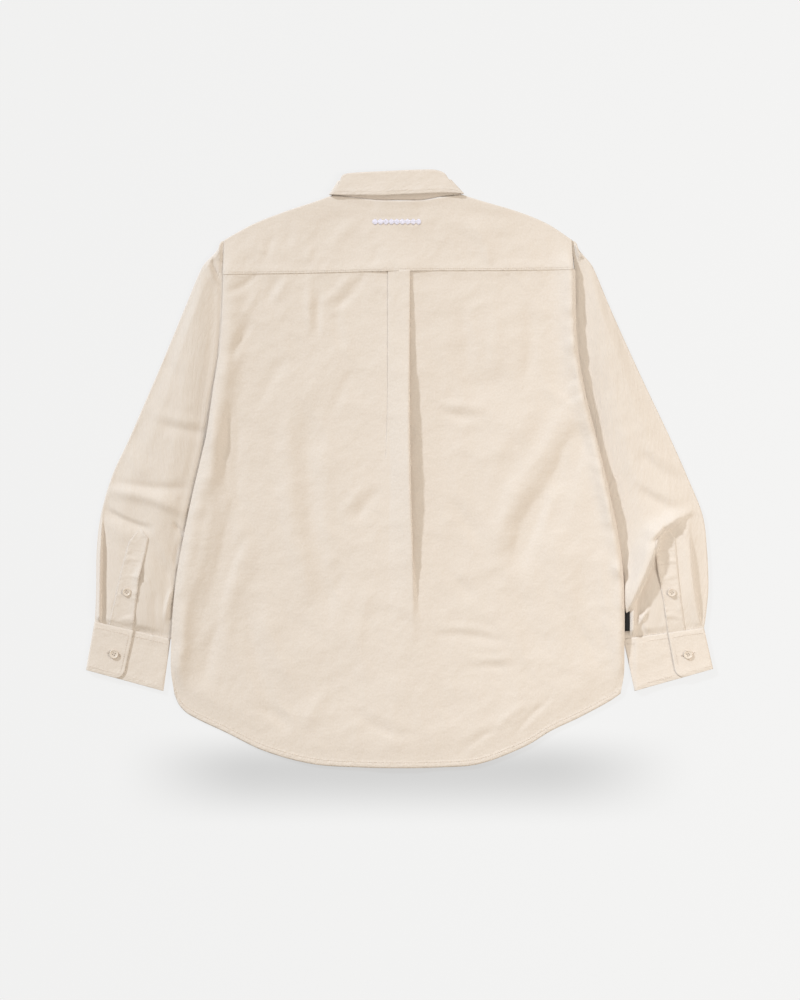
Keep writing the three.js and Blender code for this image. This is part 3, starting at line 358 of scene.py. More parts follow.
def read(rows, key, name, at):
    """A table read smoothly between its rows."""
    keys, values = rows[key], rows[name]
    if keys[-1] < keys[0]:
        keys, values = keys[::-1], values[::-1]
    before = np.maximum(np.arange(len(keys)) - 1, 0)
    after = np.minimum(np.arange(len(keys)) + 1, len(keys) - 1)
    slopes = (values[after] - values[before]) / (keys[after] - keys[before])
    at = np.clip(at, keys[0], keys[-1])
    upper = np.clip(np.searchsorted(keys, at), 1, len(keys) - 1)
    span = keys[upper] - keys[upper - 1]
    share = (at - keys[upper - 1]) / span
    square, cube = share ** 2, share ** 3
    return (
        (2 * cube - 3 * square + 1) * values[upper - 1]
        + (cube - 2 * square + share) * span * slopes[upper - 1]
        + (3 * square - 2 * cube) * values[upper]
        + (cube - square) * span * slopes[upper]
    )


def numbered(rows):
    return {**rows, "place": np.arange(len(next(iter(rows.values()))), dtype=float)}


def station(rows, place):
    """The points of a table at a place between its rows, counted from its first row."""
    rows = numbered(rows)
    at = lambda name: float(read(rows, "place", name, place))
    return {name[:-1]: np.array([at(name), at(name[:-1] + "Y")]) for name in rows if name.endswith("X")}


def random_waves(x, y, size, seed):
    """Soft random waves of about that size, from -1 to 1."""
    lattice = np.random.default_rng(seed).uniform(-1, 1, (256, 256))
    turn = math.radians(23 + 31 * (seed % 5))
    across = (x * math.cos(turn) + y * math.sin(turn)) / size + 128
    along = (y * math.cos(turn) - x * math.sin(turn)) / size + 128
    column, row = np.floor(across).astype(int), np.floor(along).astype(int)
    right, up = smooth(across - column, 0, 1), smooth(along - row, 0, 1)
    corner = lambda i, j: lattice[(row + i) % 256, (column + j) % 256]
    return lerp(lerp(corner(0, 0), corner(0, 1), right), lerp(corner(1, 0), corner(1, 1), right), up)


def crease_height(creases, x, y):
    """Height of the ridges and troughs at a place."""
    height = np.zeros(np.broadcast(x, y).shape)
    for x1, y1, x2, y2, bow, left, right, tall in zip(*creases.values()):
        run_x, run_y = x2 - x1, y2 - y1
        length = math.hypot(run_x, run_y)
        share = ((x - x1) * run_x + (y - y1) * run_y) / length ** 2
        away = ((x - x1) * run_y - (y - y1) * run_x) / length - 4 * bow * share * (1 - share)
        ends = smooth(share, -0.15, 0.3) * (1 - smooth(share, 0.7, 1.15))
        height = height + tall * ends * bell(away, np.where(away < 0, left, right))
    return height


# Places on the body
def side_edge(hand, y):
    return read(SIDES, "y", "left" if hand == LEFT else "right", y)


def side_at(x, y):
    return np.where(x < 0, side_edge(LEFT, y), side_edge(RIGHT, y))


def inset(x, y):
    return np.where(x < 0, -1, 1) * (side_at(x, y) - x)


def hem_at(x):
    return read(HEM, "x", "y", x)


def yoke_seam_at(x):
    return read(YOKE_SEAM, "x", "y", x)


def shoulder_or_neck_at(x):
    shoulder = np.where(x < 0, read(LEFT_SHOULDER, "x", "y", x), read(RIGHT_SHOULDER, "x", "y", x))
    at_neck = (x > BACK_NECK["x"][0]) & (x < BACK_NECK["x"][-1])
    return np.where(at_neck, read(BACK_NECK, "x", "y", x), shoulder)


NECK_CENTRE_X = -3.5
NECK_CENTRE_Y = 370
NECK_RADIUS = 83.2


def front_top_at(x):
    off = x - NECK_CENTRE_X
    radius = NECK_RADIUS + 2 * SEAM_GAP
    neck = NECK_CENTRE_Y - np.sqrt(np.maximum(radius ** 2 - off ** 2, 0))
    neck = np.where(np.abs(off) < radius, neck, np.inf)
    return np.minimum(neck, read(FRONT_YOKE_SEAM, "x", "y", np.abs(x)) - 3 * SEAM_GAP)


def placket_level(y):
    return CLOTH / 2 + PLACKET_RISE * smooth(y, -385, -305)


def sleeve_share(x, y):
    start = read(SLEEVE_UNDER, "y", "from", y)
    return smooth(np.abs(x) - start, -36, -6)


def front_level(x, y, hand):
    """Middle height of a front. The right front also lies on the placket."""
    rest = CLOTH / 2
    over_sleeve = read(SLEEVE_UNDER, "y", "height", y) * sleeve_share(x, y)
    lap = placket_level(y) - rest + (LAYER if hand == RIGHT else 0)
    over_placket = lap * (1 - smooth(np.abs(x - CENTRE_FRONT), PLACKET_WIDTH / 2 + 1, 50))
    from_neck = np.hypot(x - NECK_CENTRE_X, y - NECK_CENTRE_Y)
    over_collar = PLACKET_RISE * (1 - smooth(from_neck, 132, 175))
    return rest + np.maximum(np.maximum(over_sleeve, over_placket), over_collar)


def either_front_level(x, y):
    return np.where(x < CENTRE_FRONT, front_level(x, y, LEFT), front_level(x, y, RIGHT))


# Size, seed and height of the waves and of the sharper folds that washed cotton keeps all over
SOFT_WAVES = ((74, 1, 0.5), (33, 2, 0.26), (15, 3, 0.12), (7, 4, 0.05))
SHARP_FOLDS = ((52, 12, 0.42), (27, 13, 0.34), (14, 14, 0.16))


def crumple(x, y):
    waves = sum(height * random_waves(x, y, size, seed) for size, seed, height in SOFT_WAVES)
    folds = sum(height * (1 - 2 * np.abs(random_waves(x, y, size, seed)))
                for size, seed, height in SHARP_FOLDS)
    return waves + folds


CREASE_DEPTH = 1.4
CRUMPLE_DEPTH = 1.25
CENTRE_RISE = 1.8
OVER_SLEEVE_RISE = 3.2
RIGHT_EDGE_RISE = 1.5
BESIDE_ARMHOLE_RISE = 3.5


def back_level(x, y):
    """Middle height of the back and the yoke, without the pleat."""
    to_side = inset(x, y)
    to_hem = y - hem_at(x)
    to_shoulder = shoulder_or_neck_at(x) - y
    beside = x + np.where(x < 0, -1, 1) * 12
    fronts = [front_level(place, y, hand) for place in (x, beside) for hand in (LEFT, RIGHT)]
    below = np.maximum.reduce(fronts)
    over_sleeve = OVER_SLEEVE_RISE * sleeve_share(x, y) * smooth(y, -330, -60)
    level = LOFT + CENTRE_RISE * bell(x - CENTRE_FRONT, 40) + over_sleeve
    ridge = read(SIDES, "y", "ridge", y)
    beside_armhole = smooth(y, 40, 130) * (1 - smooth(y, 268, 300))
    beside_sleeve = RIGHT_EDGE_RISE * ridge + BESIDE_ARMHOLE_RISE * beside_armhole
    uneven = 1 + 0.3 * random_waves(x * 0.3, y, 16, 15)
    left_ridge, right_ridge = ridge * bell(to_side - 13, 12), beside_sleeve * bell(to_side - 4, 12)
    level = level + uneven * np.where(x < 0, left_ridge, right_ridge)
    creases = crease_height(BACK_CREASES, x, y) + crease_height(YOKE_CREASES, x, y)
    level = level + CREASE_DEPTH * creases + CRUMPLE_DEPTH * crumple(x, y)
    level = lerp(below + LAYER + 0.2, level, smooth(to_hem, 0, 45))
    level = lerp(below + 2 * LAYER, level, smooth(to_shoulder, 0, 40))
    return smooth_max(level, below + LAYER - 0.5)


def rolled(level, edge, x, y):
    """The cloth rolled down to the seam at the sides."""
    fall = 1 - np.clip(inset(x, y) / ROLL, 0, 1)
    return edge + (level - edge) * np.sqrt(1 - fall ** 2)


def back_surface(x, y):
    return rolled(back_level(x, y), read(SIDES, "y", "back", y), x, y)


def front_surface(x, y, hand):
    inside = smooth(inset(x, y), 30, 70) * smooth(y - hem_at(x), 10, 50)
    creases = crease_height(FRONT_CREASES, x, y) + 0.3 + 0.5 * random_waves(x, y, 40, 6)
    level = front_level(x, y, hand) + inside * np.maximum(creases, 0)
    return rolled(level, read(SIDES, "y", "front", y), x, y)


# Materials
def new_material(name, colour, roughness):
    material = bpy.data.materials.new(name)
    material.use_nodes = True
    shader = material.node_tree.nodes["Principled BSDF"]
    shader.inputs["Base Color"].default_value = (*colour, 1)
    shader.inputs["Roughness"].default_value = roughness
    return material, shader


def set_inputs(material, node, inputs):
    """Each input takes a value, or is wired to another node's output."""
    for name, value in inputs.items():
        if isinstance(value, bpy.types.NodeSocket):
            material.node_tree.links.new(value, node.inputs[name])
        else:
            node.inputs[name].default_value = value


def add_node(material, kind, inputs, output=None, **settings):
    """A new node, or that output of it where one is named."""
    node = material.node_tree.nodes.new(kind)
    for name, value in settings.items():
        setattr(node, name, value)
    set_inputs(material, node, inputs)
    return node.outputs[output] if output else node


THREADS_PER_METRE = 1150
CLOTH_COLOUR = (0.690, 0.609, 0.540)
CLOTH_PALER = (0.730, 0.653, 0.592)
FOLD_RELIEF = 0.0011
CRUMPLE_RELIEF = 0.0018
PUCKER_RELIEF = 0.0022
WEAVE_RELIEF = 0.00012


def oxford_cloth(name, colour, paler):
    """Cream oxford: a small basket weave, slubs, soft wash crumples, and puckers beside the seams."""
    material, shader = new_material(name, colour, 0.92)
    set_inputs(material, shader, {"Sheen Weight": 0.12, "Sheen Roughness": 0.6, "Specular IOR Level": 0.2})
    place = add_node(material, "ShaderNodeUVMap", {}, "UV", uv_map="weave")

    def threads(direction):
        inputs = {"Vector": place, "Scale": THREADS_PER_METRE / 6.28, "Distortion": 0.6}
        return add_node(material, "ShaderNodeTexWave", inputs, "Fac", wave_type="BANDS",
                        bands_direction=direction)

    def noise(scale, detail, roughness=0.5, kind="FBM"):
        inputs = {"Vector": place, "Scale": scale, "Detail": detail, "Roughness": roughness}
        return add_node(material, "ShaderNodeTexNoise", inputs, "Fac", noise_type=kind)

    def product(first, second):
        return add_node(material, "ShaderNodeMath", {0: first, 1: second}, "Value", operation="MULTIPLY")

    weave = product(threads("X"), threads("Y"))
    slubs = noise(420, 3)
    tones = {"From Min": 0.3, "From Max": 0.7, "Value": slubs}
    tone = add_node(material, "ShaderNodeMapRange", tones, "Result")
    ends = {"A": (*colour, 1), "B": (*paler, 1), "Factor": tone}
    mixed = add_node(material, "ShaderNodeMix", ends, "Result", data_type="RGBA")
    crumples = noise(85, 5, 0.6)
    puckers = noise(190, 2)
    near_seam = add_node(material, "ShaderNodeAttribute", {}, "Fac", attribute_name="near_seam")
    beside_seam = product(puckers, near_seam)
    folds = noise(26, 3, kind="RIDGED_MULTIFRACTAL")

    normal = None
    for height, depth in ((folds, FOLD_RELIEF), (crumples, CRUMPLE_RELIEF), (beside_seam, PUCKER_RELIEF),
                          (weave, WEAVE_RELIEF)):
        inputs = {"Strength": 0.55, "Distance": depth, "Height": height}
        if normal is not None:
            inputs["Normal"] = normal
        normal = add_node(material, "ShaderNodeBump", inputs, "Normal")
    set_inputs(material, shader, {"Base Color": mixed, "Normal": normal})
    return material


cloth_material = oxford_cloth("cream_oxford", CLOTH_COLOUR, CLOTH_PALER)
thread_material, _ = new_material("cream_thread", (0.72, 0.63, 0.56), 0.7)
motif_material, _ = new_material("pale_lavender_thread", (0.86, 0.84, 0.95), 0.6)
button_material, _ = new_material("cream_button", (0.70, 0.61, 0.53), 0.34)
tab_material, _ = new_material("black_tape", (0.006, 0.006, 0.0065), 0.9)


# Meshes
def finish_piece(mesh_object, material):
    mesh_object.data.materials.append(material)
    for face in mesh_object.data.polygons:
        face.use_smooth = True
    bpy.context.scene.collection.objects.link(mesh_object)
    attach(mesh_object, "root")
    return mesh_object


def path_length(points, axis, closed):
    steps = np.diff(points, axis=axis)
    long = np.linalg.norm(steps, axis=2)
    zero = np.zeros_like(np.take(long, [0], axis=axis))
    run = np.cumsum(np.concatenate([zero, long], axis=axis), axis=axis)
    if closed:
        gap = np.linalg.norm(points[:, 0] - points[:, -1], axis=1)
        run = np.concatenate([run, run[:, -1:] + gap[:, None]], axis=1)
    return run


def cloth_shell(name, grid, thickness=THIN, ring=False, keep=None, near_seam=None,
                material=None):
    """A thin layer of cloth through a grid of points, rows by columns."""
    grid = np.asarray(grid, float)
    rows, columns = grid.shape[:2]
    row, column = np.meshgrid(np.arange(rows - 1), np.arange(columns if ring else columns - 1), indexing="ij")
    corners = [(row, column), (row, column + 1), (row + 1, column + 1), (row + 1, column)]
    faces = np.stack([i * columns + j % columns for i, j in corners], axis=2)
    across = path_length(grid, 1, ring)
    along = path_length(grid, 0, False)
    along = np.concatenate([along, along[:, :1]], axis=1) if ring else along
    weave = np.stack([np.stack([across[i, j], along[i, j]], axis=2) for i, j in corners], axis=2)
    if keep is not None:
        chosen = keep(row, column)
        faces, weave = faces[chosen], weave[chosen]
    faces, weave = faces.reshape(-1, 4), weave.reshape(-1, 2) * MM

    mesh = bpy.data.meshes.new(name)
    used, faces = np.unique(faces, return_inverse=True)
    faces = faces.reshape(-1, 4)
    points = grid.reshape(-1, 3)[used] * MM
    mesh.from_pydata(points.tolist(), [], faces.tolist())
    mesh.uv_layers.new(name="weave")
    mesh.uv_layers["weave"].data.foreach_set("uv", weave.ravel())
    seam = mesh.attributes.new("near_seam", "FLOAT", "POINT")
    if near_seam is not None:
        seam.data.foreach_set("value", np.broadcast_to(near_seam, (rows, columns)).ravel()[used])
    piece = bpy.data.objects.new(name, mesh)
    wall = piece.modifiers.new("thickness", "SOLIDIFY")
    wall.thickness = thickness * MM
    wall.offset = 0
    return finish_piece(piece, material or cloth_material)


STITCH_SHAPE = np.array([
    [-1, 0, -0.3], [-0.7, 0.8, 0], [-0.7, 0, 1], [-0.7, -0.8, 0], [-0.7, 0, -0.6],
    [0.7, 0.8, 0], [0.7, 0, 1], [0.7, -0.8, 0], [0.7, 0, -0.6], [1, 0, -0.3],
])
STITCH_FACES = [
    [0, 2, 1], [0, 3, 2], [0, 4, 3], [0, 1, 4], [1, 2, 6, 5], [2, 3, 7, 6], [3, 4, 8, 7], [4, 1, 5, 8],
    [9, 5, 6], [9, 6, 7], [9, 7, 8], [9, 8, 5],
]


def thread_mesh(name, starts, ends, width, material, up=1):
    """One mesh with a little thread from each start to its end, facing up or down."""
    starts, ends = np.asarray(starts, float), np.asarray(ends, float)
    way = ends - starts
    long = np.linalg.norm(way, axis=1, keepdims=True)
    way = way / long
    side = np.cross([0, 0, up], way)
    side = side / np.linalg.norm(side, axis=1, keepdims=True)
    up = np.cross(way, side)
    middle = (starts + ends) / 2
    points = (
        middle[:, None]
        + STITCH_SHAPE[None, :, :1] * (way * long / 2)[:, None]
        + STITCH_SHAPE[None, :, 1:2] * (side * width / 2)[:, None]
        + STITCH_SHAPE[None, :, 2:] * (up * width / 2)[:, None]
    )
    firsts = range(0, len(starts) * len(STITCH_SHAPE), len(STITCH_SHAPE))
    faces = [[first + corner for corner in face] for first in firsts for face in STITCH_FACES]
    mesh = bpy.data.meshes.new(name)
    mesh.from_pydata((points.reshape(-1, 3) * MM).tolist(), [], faces)
    return finish_piece(bpy.data.objects.new(name, mesh), material)


STITCH_LENGTH = 2.3
STITCH_PITCH = 3.1
STITCH_WIDTH = 0.55


def stitch_run(points):
    """Starts and ends of the stitches along a line of points."""
    points = np.asarray(points, float)
    steps = np.linalg.norm(np.diff(points, axis=0), axis=1)
    run = np.concatenate([[0], np.cumsum(steps)])
    starts = np.arange(0, run[-1] - STITCH_LENGTH, STITCH_PITCH)
    at = lambda where: np.stack([np.interp(where, run, points[:, axis]) for axis in range(3)], axis=1)
    return at(starts), at(starts + STITCH_LENGTH)


def sewing(name, runs, up=1):
    """The seams of one piece, as one mesh of stitches that face up or down."""
    pairs = [stitch_run(points) for points in runs]
    starts = np.concatenate([start for start, _ in pairs])
    ends = np.concatenate([end for _, end in pairs])
    return thread_mesh(name, starts, ends, STITCH_WIDTH, thread_material, up=up)


def on_surface(x, y, level, face=THIN / 2 + 0.05):
    x, y = np.broadcast_arrays(np.asarray(x, float), np.asarray(y, float))
    return np.stack([x, y, level(x, y) + face], axis=-1)


def turn_points(start, end, count):
    return np.radians(np.linspace(start, end, count))


# The back with its pleat
BACK_ROWS = 200
BODY_COLUMNS = 84
ROLL_COLUMNS = 9
UNFOLDED_REACH = 9


def roll_insets():
    return ROLL * (1 - np.sin(turn_points(90, 0, ROLL_COLUMNS)))


def pleat_edge(edge, depth, fold, rise, outward):
    """One edge of the pleat as an S: the cloth turns under and comes back out."""
    angles = turn_points(-90, 90, 8)[None, :]
    edge, depth, fold, rise = (value[:, None] for value in (edge, depth, fold, rise))
    radius = rise / 4
    centre = edge - outward * radius
    near_x = centre - outward * (depth + radius * np.cos(angles))
    near_z = radius + radius * np.sin(angles)
    far_x = centre + outward * radius * np.cos(angles)
    far_z = 3 * radius + radius * np.sin(angles)
    folded_x = np.concatenate([near_x, far_x], axis=1)
    folded_z = np.concatenate([near_z, far_z], axis=1)
    share = np.linspace(0, 1, folded_x.shape[1])[None, :]
    flat_x = edge + outward * UNFOLDED_REACH * (1 - 2 * share)
    flat_z = rise * smooth(share, 0, 1)
    return lerp(flat_x, folded_x, fold), lerp(flat_z, folded_z, fold)


def pleat_section(y):
    """Places and heights across the pleat, a row for each y."""
    at = {name: read(PLEAT, "y", name, y) for name in PLEAT if name != "y"}
    left_x, left_z = pleat_edge(at["leftEdge"], at["leftDepth"], at["leftFold"], at["leftRise"], LEFT)
    right_x, right_z = pleat_edge(at["rightEdge"], at["rightDepth"], at["rightFold"], at["rightRise"], RIGHT)
    share = np.linspace(0, 1, 12)[None, 1:-1]
    face_x = lerp(left_x[:, -1:], right_x[:, -1:], share)
    face_z = lerp(left_z[:, -1:], right_z[:, -1:], share)
    x = np.concatenate([left_x, face_x, right_x[:, ::-1]], axis=1)
    z = np.concatenate([left_z, face_z, right_z[:, ::-1]], axis=1)
    return x, z


SIDE_REACH = 120
NEAR_SIDE = 200


def meet_side(x, y, edge, side_y, share):
    """The rows of a panel moved so that each meets the side edge at the place where the edge was read."""
    at_edge = np.argmin(np.abs(x - edge[:, None]), axis=1)
    edge_y = np.take_along_axis(y, at_edge[:, None], axis=1)[:, 0]
    between = smooth(share, 0, 0.04) * (1 - smooth(share, 0.96, 1))
    moved = (side_y - edge_y) * between
    near_side = 1 - smooth(np.abs(x - edge[:, None]), 0, SIDE_REACH)
    return y + moved[:, None] * near_side


def back_grid():
    share = np.linspace(0, 1, BACK_ROWS)
    share = lerp(share, smooth(share, 0, 1), 0.35)
    side_y = lerp(SIDE_TOP_Y, SIDE_BOTTOM_Y, share)
    middle_y = lerp(yoke_seam_at(0.0), hem_at(0.0), share)
    pleat_x, pleat_z = pleat_section(middle_y)
    sides = {}
    for hand, innermost in ((LEFT, pleat_x[:, 0]), (RIGHT, pleat_x[:, -1])):
        edge = side_edge(hand, side_y) - hand * THIN / 2
        roll = edge[:, None] - hand * roll_insets()[None, :]
        start = edge - hand * ROLL
        shares = np.linspace(0, 1, BODY_COLUMNS + 1)[None, 1:]
        body = lerp(start[:, None], (innermost + hand * 2)[:, None], shares)
        side = np.concatenate([roll, body], axis=1)
        sides[hand] = side if hand == LEFT else side[:, ::-1]
    flat = np.zeros_like(sides[LEFT])
    x = np.concatenate([sides[LEFT], pleat_x, sides[RIGHT]], axis=1)
    z = np.concatenate([flat, pleat_z, flat], axis=1)
    y = lerp(yoke_seam_at(x) - SEAM_GAP / 2, hem_at(x), share[:, None])
    for edge in (x[:, 0], x[:, -1]):
        y = meet_side(x, y, edge, side_y, share)
    outside = np.where(np.abs(x) > NEAR_SIDE, x + np.sign(x) * THIN / 2, x)
    return np.stack([x, y, back_surface(outside, y) + z], axis=2)


def make_back():
    grid = back_grid()
    x, y = grid[:, :, 0], grid[:, :, 1]
    to_hem, to_yoke = y - hem_at(x), yoke_seam_at(x) - y
    grid[:, :, 2] += 0.5 * bell(to_hem - 4, 3.5) - 0.3 * bell(to_hem - 9, 2.5)
    near_seam = bell(to_hem - 5, 7) + 0.8 * bell(to_yoke, 7) + 0.5 * bell(inset(x, y), 9)
    return cloth_shell("back_panel", grid, near_seam=near_seam)


# The yoke, which covers the shoulders and turns over them to the front
WING_COLUMNS = 60
NECK_COLUMNS = 60
YOKE_OVERLAP = 1.6
YOKE_CLOTH = 0.45
NECK_EDGE_RISE = 1.2
WING_SPACING = 1.2
TIP_SPREAD = 1.009
FRONT_NECK_CURVE = 8.6
YOKE_LAP = (THIN + YOKE_CLOTH) / 2 + 0.04


def yoke_level(x, y):
    left, right = PLEAT["leftEdge"][0], PLEAT["rightEdge"][0]
    over_pleat = smooth(x, left - 34, left + 2) * (1 - smooth(x, right - 2, right + 34))
    above_seam = y - yoke_seam_at(x)
    lapped = YOKE_LAP * (1 - smooth(above_seam, 1, 16))
    lifted = PLEAT["leftRise"][0] * over_pleat * (1 - smooth(above_seam, 6, 55))
    at_neck = smooth(x, -92, -60) * (1 - smooth(x, 58, 86))
    neck_edge = NECK_EDGE_RISE * at_neck * bell(shoulder_or_neck_at(x) - y, 6)
    return back_surface(x, y) + lifted + lapped + neck_edge


def make_yoke():
    neck = BACK_NECK["x"][0], BACK_NECK["x"][-1]
    tips = LEFT_SHOULDER["x"][0] + THIN / 2, RIGHT_SHOULDER["x"][-1] - THIN / 2
    wing_share = (np.arange(WING_COLUMNS) / WING_COLUMNS) ** WING_SPACING
    column_x = np.concatenate([
        lerp(tips[0], neck[0], wing_share),
        lerp(neck[0], neck[1], np.linspace(0, 1, NECK_COLUMNS + 1)),
        lerp(tips[1], neck[1], wing_share)[::-1],
    ])
    at_neck = np.zeros(len(column_x), bool)
    at_neck[WING_COLUMNS:WING_COLUMNS + NECK_COLUMNS + 1] = True
    shoulder = shoulder_or_neck_at(column_x)
    under = either_front_level(column_x, shoulder)
    radius = (back_level(column_x, shoulder) - under) / 2
    top = shoulder - radius
    share = np.concatenate([np.linspace(0, 0.12, 10)[:-1], np.linspace(0.12, 1, 44)])[:, None]
    x = lerp(np.where(at_neck, column_x, column_x * TIP_SPREAD), column_x, share)
    upper_end = np.where(at_neck, shoulder_or_neck_at(x) - SEAM_GAP, top)
    y = lerp(yoke_seam_at(x) - YOKE_OVERLAP, upper_end, share)
    rows = [np.stack([x, y, yoke_level(x, y)], axis=2)]
    angles = turn_points(75, -75, 9)[:, None]
    turn_z = under + radius * (1 + np.sin(angles))
    turn_y = top + radius * np.cos(angles)
    rows.append(np.stack([np.broadcast_to(column_x, turn_y.shape), turn_y, turn_z], axis=2))
    front_share = np.linspace(0, 1, 14)[:, None]
    inward = FRONT_NECK_CURVE * front_share * bell(np.abs(column_x) - 88, 12) * np.sign(column_x)
    front_x = column_x - inward
    front_y = lerp(top, read(FRONT_YOKE_SEAM, "x", "y", np.abs(front_x)), front_share)
    rows.append(np.stack([front_x, front_y, either_front_level(front_x, front_y)], axis=2))
    last_top_row = len(share) - 1
    keep = lambda row, column: ~((row >= last_top_row) & at_neck[column] & at_neck[column + 1])
    grid = np.concatenate(rows)
    near_seam = 0.9 * bell(grid[:, :, 1] - yoke_seam_at(grid[:, :, 0]), 8)
    return cloth_shell("yoke_panel", grid, YOKE_CLOTH, keep=keep, near_seam=near_seam)


# Fronts and placket, which the back covers
def make_front(hand):
    share = np.linspace(0, 1, 120)
    side_y = lerp(SIDE_TOP_Y, SIDE_BOTTOM_Y, share)
    open_edge = np.where(side_y > UNDERARM_Y - 1, CLOTH, CLOTH / 2)
    edge = side_edge(hand, side_y) - hand * open_edge
    closing = CENTRE_FRONT - PLACKET_WIDTH / 2 - SEAM_GAP if hand == LEFT else CENTRE_FRONT - 10
    roll = edge[:, None] - hand * roll_insets()[None, :]
    start = edge - hand * ROLL
    panel = lerp(start[:, None], closing, np.linspace(0, 1, 70)[None, 1:])
    x = np.concatenate([roll, panel], axis=1)
    y = lerp(front_top_at(x), hem_at(x) + FRONT_HEM_RISE, share[:, None])
    y = meet_side(x, y, x[:, 0], side_y, share)
    outside = np.where(np.abs(x) > NEAR_SIDE, x + hand * open_edge[:, None], x)
    grid = np.stack([x, y, front_surface(outside, y, hand)], axis=2)
    near_seam = bell(y - hem_at(x) - 5, 7)
    return cloth_shell(f"front_panel_{SIDE_NAMES[hand]}", grid, near_seam=near_seam)


def make_placket():
    share = np.linspace(0, 1, 160)[:, None]
    x = CENTRE_FRONT + PLACKET_WIDTH * np.linspace(-0.5, 0.5, 11)[None, :] + 0 * share
    y = lerp(front_top_at(x) - SEAM_GAP, hem_at(x) + FRONT_HEM_RISE, share)
    grid = np.stack([x, y, placket_level(y)], axis=2)
    return cloth_shell("placket_band", grid, STIFF)


# Sleeves as flattened tubes
SLEEVE_ON_FLOOR = CLOTH / 2
PRESSED_SLEEVE = SLEEVE_ON_FLOOR + CLOTH + 0.8
UPPER_SLEEVE_COLUMNS = 112
UNDER_SLEEVE_COLUMNS = 26
COLUMN_SPACING = 1.25
ARMHOLE_ROWS = 7
SLEEVE_ROWS = 190
HIGHEST_FOLD = 23.8
EDGE_SUPPORT = 2.8
BESIDE_EDGE_RISE = 1.5


def sleeve_top(hand, x, y, from_outer, from_inner):
    outside_body = hand * (x - side_edge(hand, np.clip(y, SIDE_BOTTOM_Y, UNDERARM_Y + 250)))
    seen = smooth(outside_body, 8, 22)
    loft = 5 * smooth(outside_body, 12, 42) * smooth(from_outer, 2, 34) * smooth(from_inner, 0, 20)
    above_cuff = smooth(y, -232, -165)
    beside_fold = smooth(-y, 100, 130) if hand == RIGHT else 0
    out_of_body = smooth(outside_body, lerp(-1.5, -4, beside_fold), lerp(5, 3, beside_fold))
    creases = crease_height(SLEEVE_CREASES, x, y) * out_of_body * smooth(from_outer, 0, 5)
    waves = 0.8 * crumple(x, y) * smooth(outside_body, 10, 30) * smooth(from_outer, 2, 20)
    if hand == LEFT:
        rise = EDGE_SUPPORT * smooth(outside_body, -5, 1) + BESIDE_EDGE_RISE * smooth(outside_body, 0, 8)
        rise = rise * (1 - smooth(outside_body, 14, 70)) * smooth(from_inner, 0, 8)
        creases = creases + rise * smooth(y, -240, -190)
    level = PRESSED_SLEEVE + 1.6 * seen + loft * lerp(0.25, 1, above_cuff) + creases + waves
    return HIGHEST_FOLD - smooth_max(HIGHEST_FOLD - smooth_max(level, PRESSED_SLEEVE), 0, 1.5)


def cross_line(hand, place):
    at = station(LEFT_SLEEVE if hand == LEFT else RIGHT_SLEEVE, place)
    return at["outer"], at["inner"]


SLANT_STEP = 0.2
MOST_SLANT = 5


def edge_slants(hand, place):
    """How much longer a cross line is than square to the sleeve's outer and inner edge."""
    before = cross_line(hand, max(place - SLANT_STEP, 0))
    after = cross_line(hand, min(place + SLANT_STEP, LAST_PLACE))
    outer, inner = cross_line(hand, place)
    across = (inner - outer) / np.linalg.norm(inner - outer)
    slants = []
    for start, end in zip(before, after):
        along = (end - start) / np.linalg.norm(end - start)
        slants.append(min(1 / abs(across[0] * along[1] - across[1] * along[0]), MOST_SLANT))
    return slants


UNDER_BODY = -1.3
ARMHOLE_STEP = {LEFT: 0.95, RIGHT: 4.5}
BESIDE_ARMHOLE = (6, -1.5)
CUFF_CATCH = 0.85


def cuff_level_at(hand, share):
    """Height of the cuff across its top, where the sleeve is sewn in."""
    lap = CUFFS[hand]["top"]["lap"]
    return lerp(CUFF_LAP, CUFF_MIDDLE, smooth(share, lap - 0.02, lap + 0.05))


def caught_in_cuff(hand, top, place, share):
    caught = smooth(place, LAST_PLACE - 0.45, LAST_PLACE)
    return lerp(top, cuff_level_at(hand, share) - CUFF_CATCH, caught)


